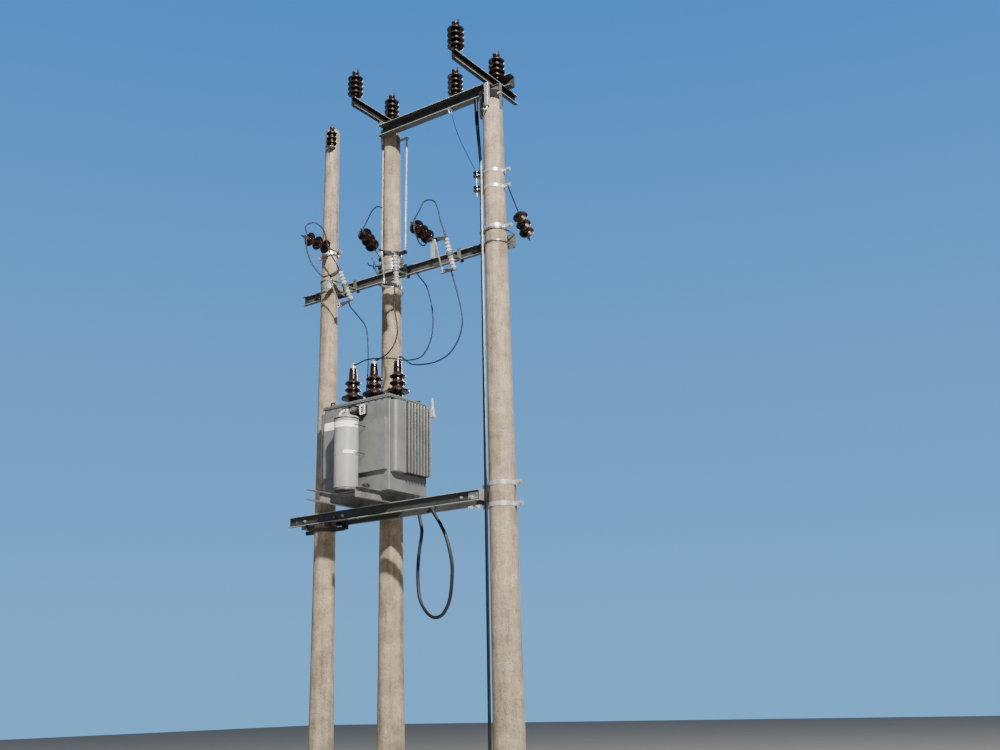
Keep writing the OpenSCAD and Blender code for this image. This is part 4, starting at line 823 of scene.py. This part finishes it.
# %% Build the bolt tree
bolt_tree = bpy.data.node_groups.new("bolt_heads", "GeometryNodeTree")
for label, kind, way in (("Geometry", "Geometry", "INPUT"), ("Across", "Float", "INPUT"),
                         ("Head", "Float", "INPUT"), ("Thread", "Float", "INPUT"),
                         ("Seed", "Int", "INPUT"), ("Finish", "Material", "INPUT"),
                         ("Geometry", "Geometry", "OUTPUT")):
    bolt_tree.interface.new_socket(label, in_out=way, socket_type="NodeSocket" + kind)
given = add(bolt_tree, "NodeGroupInput").outputs
head_share, washer_share, washer_thickness, thread_share = 0.577, 0.75, 0.12, 0.33
head_r, washer_r, washer_t, thread_r = (
    add(bolt_tree, "Math", {0: given["Across"], 1: share}, **times)
    for share in (head_share, washer_share, washer_thickness, thread_share))
joined, base = add(bolt_tree, "GeometryNodeJoinGeometry"), None
for sides, radius, depth in ((16, washer_r, washer_t), (6, head_r, given["Head"]),
                             (8, thread_r, given["Thread"])):
    disc = add(bolt_tree, "GeometryNodeMeshCylinder", {
        "Vertices": sides, "Radius": radius, "Depth": depth})
    middle = add(bolt_tree, "Math", {0: depth, 1: 0.5}, **times)
    if base:
        middle = add(bolt_tree, "Math", {0: middle, 1: base})
    base = add(bolt_tree, "Math", {0: depth, 1: base}) if base else depth
    lift = add(bolt_tree, "CombineXYZ", {"Z": middle})
    feed(joined, {0: add(bolt_tree, "GeometryNodeTransform", {
        "Geometry": disc, "Translation": lift})})
facing = add(bolt_tree, "GeometryNodeInputNamedAttribute", {"Name": "facing"},
             data_type="FLOAT_VECTOR")
aim = add(bolt_tree, "FunctionNodeAlignRotationToVector", {"Vector": facing}, axis="Z")
sixth_turn = 1.05
chance = add(bolt_tree, "FunctionNodeRandomValue", {2: 0, 3: sixth_turn, "Seed": given["Seed"]},
             data_type="FLOAT")
spin = add(bolt_tree, "CombineXYZ", {"Z": chance})
turn = add(bolt_tree, "FunctionNodeRotateRotation", {"Rotation": aim, "Rotate By": spin},
           rotation_space="LOCAL")
placed = add(bolt_tree, "GeometryNodeInstanceOnPoints", {
    "Points": given["Geometry"], "Instance": joined, "Rotation": turn})
real = add(bolt_tree, "GeometryNodeRealizeInstances", {"Geometry": placed})
dressed = add(bolt_tree, "GeometryNodeSetMaterial", {
    "Geometry": real, "Material": given["Finish"]})
add(bolt_tree, "NodeGroupOutput", {"Geometry": dressed})
print(len(bolt_tree.nodes), "nodes in the bolt tree")


# %% Run the tree on points and keep a plain mesh
def grow(name, points, across, head, thread, seed, finish):
    data = bpy.data.meshes.new(name + "_points")
    data.from_pydata([tuple(place) for place, way in points], [], [])
    ways = data.attributes.new("facing", "FLOAT_VECTOR", "POINT")
    for i, (place, way) in enumerate(points):
        ways.data[i].vector = way
    holder = stand(name + "_points", data)
    modifier = holder.modifiers.new("grow", "NODES")
    modifier.node_group = bolt_tree
    sizes = {"Across": across, "Head": head, "Thread": thread, "Seed": seed, "Finish": finish}
    for socket in bolt_tree.interface.items_tree:
        if socket.name in sizes:
            modifier[socket.identifier] = sizes[socket.name]
    graph = bpy.context.evaluated_depsgraph_get()
    made = bpy.data.meshes.new_from_object(holder.evaluated_get(graph))
    made.name = name
    holder.modifiers.remove(modifier)
    bpy.data.objects.remove(holder)
    piece = stand(name, made)
    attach(piece, "substation")
    print(name, len(points), "places,", len(made.polygons), "faces")


def row(start, end, count, way):
    start, end = Vector(start), Vector(end)
    return [(start.lerp(end, k / (count - 1)), way) for k in range(count)]


# %% [markdown]
# ## Where the bolts sit
# The cover and its flange are clamped by a row of M12 bolts on each side, heads up and nuts down.
# The front panel is screwed on round its edge, a rod draws each strap's end back to it, and the
# platform has larger structural bolts in some of its holes.

# %% Bolts of the tank, panel, straps and platform
up, down, forward = (0, 0, 1), (0, 0, -1), (0, -1, 0)
left, right = tank_low[0] + 0.03, tank_high[0] - 0.03
front, rear, top = tank_low[1] + 0.02, tank_high[1] - 0.03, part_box("tank_cover")[1][2]
heads = []
for y in (front, rear):
    heads += row((left, y, top), (right, y, top), 10, up)
for x in (left, right):
    heads += row((x, front + 0.1, top), (x, rear - 0.1, top), 5, up)
grow("cover_bolts", heads, 0.019, 0.008, 0.004, 3, fitting_zinc)
left, right, front = tank_low[0] - 0.007, tank_high[0] + 0.007, tank_low[1] - 0.007
flange_foot = 5.07
nuts = row((left, front, flange_foot), (right, front, flange_foot), 11, down)
for x in (left, right):
    nuts += row((x, front + 0.1, flange_foot), (x, tank_high[1] - 0.06, flange_foot), 7, down)
grow("flange_nuts", nuts, 0.013, 0.009, 0.007, 5, fitting_zinc)
panel_low, panel_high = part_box("front_panel")
inset, front = 0.016, panel_low[1]
left, right = panel_low[0] + inset, panel_high[0] - inset
screws = []
for z in (panel_low[2] + inset, panel_high[2] - inset):
    screws += row((left, front, z), (right, front, z), 10, forward)
for x in (left, right):
    screws += row((x, front, panel_low[2] + 0.1), (x, front, panel_high[2] - 0.1), 5, forward)
grow("panel_screws", screws, 0.0085, 0.004, 0.002, 7, tank_enamel)
strap_bolts = [((can_x + side * lug_middle, can_y - 0.003, z), forward)
               for side in (-1, 1) for z in (4.404, 4.742)]
grow("strap_bolts", strap_bolts, 0.019, 0.011, 0.02, 9, band_zinc)
beam_face, plate_face = -0.1389, -0.1429
beam_bolts = [((x, y, z), forward) for x, y, z in (
    (-2.91, beam_face, 3.77), (-2.275, beam_face, 3.77), (-0.47, beam_face, 3.77),
    (-0.335, plate_face, 3.765), (-0.245, plate_face, 3.785))]
grow("beam_bolts", beam_bolts, 0.024, 0.013, 0.012, 11, band_zinc)

# %% [markdown]
# ## Drop-out fuse tubes
# A fuse tube is a wound glass fibre barrel with a metal ferrule on each end. The upper one has
# the pull ring for the lineman's hook, the lower one hangs by its trunnion in the hinge. The
# barrel is slimmer than its ferrules. Each tube is turned in its own frame, with the hinge at
# the origin, then leaned and moved to its place, and rides on its own body.

# %% Three fuse tubes
hinge_in_cutout = Matrix.Translation((0, -0.25, -0.21))
for body, across_x, lean in (("left_fuse", -2.37, 34), ("middle_fuse", -1.51, 8),
                             ("right_fuse", -0.65, 23)):
    to_cutout = (Matrix.Translation((across_x, -0.06, 6.825))
                 @ Matrix.Rotation(math.radians(lean), 4, "X") @ hinge_in_cutout)
    barrel = bmesh.new()
    turned(barrel, (0, 0, 0.028), up, drum(0.0095, 0.33), 24)
    bmesh.ops.transform(barrel, matrix=to_cutout, verts=barrel.verts)
    keep_piece(barrel, body + "_barrel", tube_fibre, body, (body + "_tube",))
    metal = bmesh.new()
    turned(metal, (0, 0, 0.35), up, [
        (0, 0), (0, 0.0125), (0.004, 0.014), (0.03, 0.014), (0.032, 0.0165), (0.044, 0.0165),
        (0.047, 0.012), (0.054, 0.011), (0.057, 0.006), (0.058, 0)])
    turned(metal, (0, 0, 0.012), up, [
        (0, 0), (0, 0.0105), (0.004, 0.0125), (0.03, 0.0125), (0.034, 0.0115), (0.046, 0.011),
        (0.046, 0)])
    block(metal, (-0.01, -0.01, -0.01), (0.01, 0.01, 0.018), 0.003)
    bar(metal, (-0.029, 0, 0), (0.029, 0, 0), 0.005, 16)
    block(metal, (-0.004, -0.034, -0.004), (0.004, -0.01, 0.004))
    eye_ring(metal, (0, -0.04, 0), (1, 0, 0), 0.009, 0.003, 0.003, 16)
    block(metal, (-0.004, -0.028, 0.362), (0.004, -0.012, 0.372))
    eye_ring(metal, (0, -0.047, 0.367), (1, 0, 0), 0.0185, 0.0035, 0.0035, 24)
    bmesh.ops.transform(metal, matrix=to_cutout, verts=metal.verts)
    keep_piece(metal, body + "_ferrules", band_zinc, body)

# %% [markdown]
# ## Shoe on the right pole and pressed bands on the middle pole
# The right pole's top is wrapped by a dark steel shoe under its saddle, cut to an arch in front.
# The middle pole has two bright bands with a pressed bead, which makes them spring shut. The
# shoe is an arc whose lower rim rises in the middle, and each band is a turned ring.


# %% Shoe and pressed bands
def pole_radius(top_width, top_z, z):
    return 0.5 * (top_width + (top_z - z) / 75)


shoe = bmesh.new()
shoe_r, sheet = 0.1225, 0.005
arc(shoe, pole_at["right_pole"], shoe_r, shoe_r + sheet, 8.635, 8.825, -160, 30, 44, 0.075)
keep_piece(shoe, "right_pole_shoe", sooty_steel)
shoe_ways = [(math.cos(math.radians(a)), math.sin(math.radians(a)), 0) for a in (-100, -20)]
grow("shoe_bolts", [((x * (shoe_r + sheet), y * (shoe_r + sheet), 8.775), (x, y, 0))
                    for x, y, z in shoe_ways], 0.022, 0.012, 0.014, 13, band_zinc)
pressed = bmesh.new()
for low in (7.108, 7.188):
    skin_r = pole_radius(0.224, 9.25, low) + 0.0045
    turned(pressed, (*pole_at["middle_pole"], low), up, [(z, skin_r + out) for z, out in (
        (0, 0), (0, 0.005), (0.012, 0.006), (0.02, 0.014), (0.036, 0.019), (0.052, 0.014),
        (0.06, 0.006), (0.072, 0.005), (0.072, 0))], 72, loop=True)
keep_piece(pressed, "pressed_bands", band_zinc)

# %% [markdown]
# ## Sleeves at the cables' ends
# A lead that moves in the wind would break where it leaves its clamp, so each end has a sleeve
# that tapers from the clamp to the jacket. It is a turned profile about the cable's first
# centimetres.

# %% Tapered sleeves
sleeves = bmesh.new()
for radius, point, way in ends:
    turned(sleeves, point, way, [
        (0, 0), (0, radius * 1.55), (0.012, radius * 1.55), (0.014, radius * 1.4),
        (0.04, radius * 1.08), (0.04, 0)], 20)
keep_piece(sleeves, "cable_sleeves", fitting_zinc)

# %% [markdown]
# ## Louvred cover and small hardware
# A white sheet cover with pressed louvres shields a small box on the tank's front: a frame and
# tilted slats leave dark slots. On the beam a bright shackle holds the thin wire's end, and on
# the middle pole's left a forged hook has two prongs and a third that points forward. All three
# are blocks and bars of the sizes that the photograph shows.

# %% Louvred cover
cover = bmesh.new()
left, right, low, high, back = -1.766, -1.688, 4.898, 5.022, -0.4155
for x0, z0, x1, z1 in ((left, low, left + 0.01, high), (right - 0.01, low, right, high),
                       (left, low, right, low + 0.01), (left, high - 0.012, right, high)):
    block(cover, (x0, back - 0.012, z0), (x1, back, z1))
for k in range(4):
    tilt = (Matrix.Translation((0, back - 0.006, low + 0.028 + k * 0.0245))
            @ Matrix.Rotation(math.radians(35), 4, "X"))
    block(cover, (left + 0.008, -0.0085, -0.001), (right - 0.008, 0.0085, 0.001), 0, tilt)
keep_piece(cover, "louvred_cover", white_enamel)


# %% Shackle and hook
def under_beam(x, y, z):
    return Vector((-0.86 + x, 0.3 + y, 9.0466 + z))


shackle = bmesh.new()
bent(shackle, [under_beam(-0.02, -0.03, 0.012), under_beam(-0.02, -0.035, -0.03),
               under_beam(-0.012, -0.03, -0.055), under_beam(0, -0.012, -0.06),
               under_beam(0.004, 0, -0.045)], 0.006, 10)
turned(shackle, under_beam(0, 0, -0.002), down, [
    (0, 0), (0, 0.016), (0.01, 0.016), (0.012, 0.01), (0.03, 0.008), (0.03, 0)], 12)
block(shackle, under_beam(-0.04, -0.0555, -0.004), under_beam(0.01, -0.015, 0))
keep_piece(shackle, "wire_shackle", band_zinc)
hook = bmesh.new()
bar(hook, (-2.18, 0.50, 7.236), (-2.318, 0.452, 7.236), 0.011)
block(hook, (-2.325, 0.435, 7.20), (-2.30, 0.465, 7.275), 0.003)
for route, radius in (
        ([(-2.312, 0.45, 7.27), (-2.318, 0.447, 7.31), (-2.335, 0.44, 7.345),
          (-2.35, 0.435, 7.365)], 0.008),
        ([(-2.30, 0.45, 7.205), (-2.28, 0.447, 7.16), (-2.255, 0.44, 7.12),
          (-2.235, 0.435, 7.10)], 0.008),
        ([(-2.31, 0.44, 7.24), (-2.33, 0.40, 7.235), (-2.345, 0.37, 7.245),
          (-2.34, 0.345, 7.265)], 0.007)):
    bent(hook, route, radius, 10)
keep_piece(hook, "middle_pole_hook", fitting_zinc)

# %% [markdown]
# ## Strap that holds the crossarm
# The crossarm lies behind the left pole, so a wide strap goes round the pole's front and is
# bolted through to it. It is seen as a pale plate across the concrete. An arc of a hand's width
# with an ear on each side makes it.

# %% Crossarm strap on the left pole
strap = bmesh.new()
low, high = 6.838, 6.912
strap_r = pole_radius(0.19, 9.2, 6.835) + 0.0005
pole_x, pole_y = pole_at["left_pole"]
arc(strap, (pole_x, pole_y), strap_r, strap_r + sheet, low, high, -180, 0, 48)
for side in (-1, 1):
    ear_x = pole_x + side * (strap_r + sheet / 2)
    block(strap, (ear_x - sheet / 2, -0.001, low), (ear_x + sheet / 2, 0.1345, high), 0.0005)
keep_piece(strap, "crossarm_strap", channel_zinc)

# %% [markdown]
# ## Plate and clips at the beam's right end
# Where the front beam meets its bracket, a bright plate lies on the web under two bolts, and two
# folded clips with bolts of their own grip the lower flange.

# %% Beam end plate
end_plate = bmesh.new()
block(end_plate, (-0.375, plate_face, 3.735), (-0.205, beam_face, 3.815))
clip_face = beam_face - 0.024
for x in (-0.335, -0.235):
    block(end_plate, (x - 0.03, clip_face, 3.648), (x + 0.03, beam_face + 0.02, 3.656))
    block(end_plate, (x - 0.03, clip_face, 3.62), (x + 0.03, clip_face + 0.006, 3.65))
    turned(end_plate, (x, clip_face, 3.636), forward, [
        (0, 0), (0, 0.012), (0.011, 0.012), (0.011, 0.006), (0.02, 0.006), (0.02, 0)], 6)
keep_piece(end_plate, "beam_end_plate", band_zinc)

# %% [markdown]
# ## Hanger in front of the right pole's top
# A short bright channel stands before the shoe on the photographer's side, with a curled foot
# that may once have held a stay. It is three folded walls and a bent bar.


# %% Hanger
def at_hanger(x, y, z):
    return Vector((0.02 + x, -0.134 + y, 8.585 + z))


hanger = bmesh.new()
tall = 0.315
for x0, y0, x1, y1 in ((-0.027, -0.036, 0.027, -0.03), (-0.027, -0.036, -0.021, 0.012),
                       (0.021, -0.036, 0.027, 0.008)):
    block(hanger, at_hanger(x0, y0, 0), at_hanger(x1, y1, tall))
bent(hanger, [at_hanger(0, -0.012, 0.04), at_hanger(0, -0.012, -0.01),
              at_hanger(-0.008, -0.02, -0.04), at_hanger(-0.026, -0.03, -0.05),
              at_hanger(-0.045, -0.038, -0.035)], 0.011, 12)
keep_piece(hanger, "top_hanger", band_zinc)

# %% [markdown]
# ## Floor and light
# A pale floor stands for the ground. One soft lamp stands far off at the front right, about 30
# degrees up, as the sun does in the photograph: it lights the beams' webs and the right half of
# each round form, and the canister's shadow falls down the tank to the left. The surroundings are
# a blue backdrop that is seen, deeper higher up, and a weaker pale one that lights, as on a studio
# set. A broad weak lamp on the left fills the shadows, and one behind keeps the far side readable.

# %% Floor, lamps and surroundings
floor_finish, tree, shader, where = start_finish("pale_floor", Roughness=0.9)
cast = add(tree, "TexNoise", {"Vector": where, "Scale": per_mm(900), "Detail": 3})
tone = add(tree, "ValToRGB", {"Fac": cast}, stops=((0.3, "#b2b1ae"), (0.7, "#bab9b6")))
feed(shader, {"Base Color": tone})
floor = stand("floor", bpy.data.meshes.new("floor"))
reach = 60
corners = [(-reach, -reach, 0), (reach, -reach, 0), (reach, reach, 0), (-reach, reach, 0)]
floor.data.from_pydata(corners, [], [(0, 1, 2, 3)])
floor.data.materials.append(floor_finish)
for name, place, aim, size, watts, tint in (
        ("key", (13.7, -11.7, 16.5), (-1.3, 0, 5.5), 0.7, 18000, "#fff3e4"),
        ("fill", (-10, -12, 8), (-1.3, 0, 6), 8, 60, "#dfeaff"),
        ("back", (-6, 15, 11), (-1.3, 0, 6), 8, 2600, "#f0f3ff")):
    lamp = stand(name, bpy.data.lights.new(name, "AREA"))
    lamp.data.shape = "SQUARE"
    lamp.data.size = size
    lamp.data.energy = watts
    lamp.data.color = colour(tint)[:3]
    lamp.location = place
    way = Vector(aim) - Vector(place)
    lamp.rotation_euler = way.to_track_quat("-Z", "Y").to_euler()
world = bpy.data.worlds.new("studio")
bpy.context.scene.world = world
world.use_nodes = True
around = world.node_tree
around.nodes.clear()
fill = add(around, "Background", {"Color": colour("#b9cbe0"), "Strength": 0.3})
way = add(around, "TexCoord").outputs["Generated"]
height = add(around, "SeparateXYZ", {0: way}).outputs["Z"]
fade = add(around, "ValToRGB", {"Fac": height}, stops=((0.05, "#74b9f6"), (0.6, "#3f8be6")))
sky = add(around, "Background", {"Color": fade, "Strength": 0.98})
seen = add(around, "LightPath").outputs["Is Camera Ray"]
both = add(around, "MixShader", {0: seen, 1: fill, 2: sky})
add(around, "OutputWorld", {"Surface": both})
print("three lamps and a backdrop")
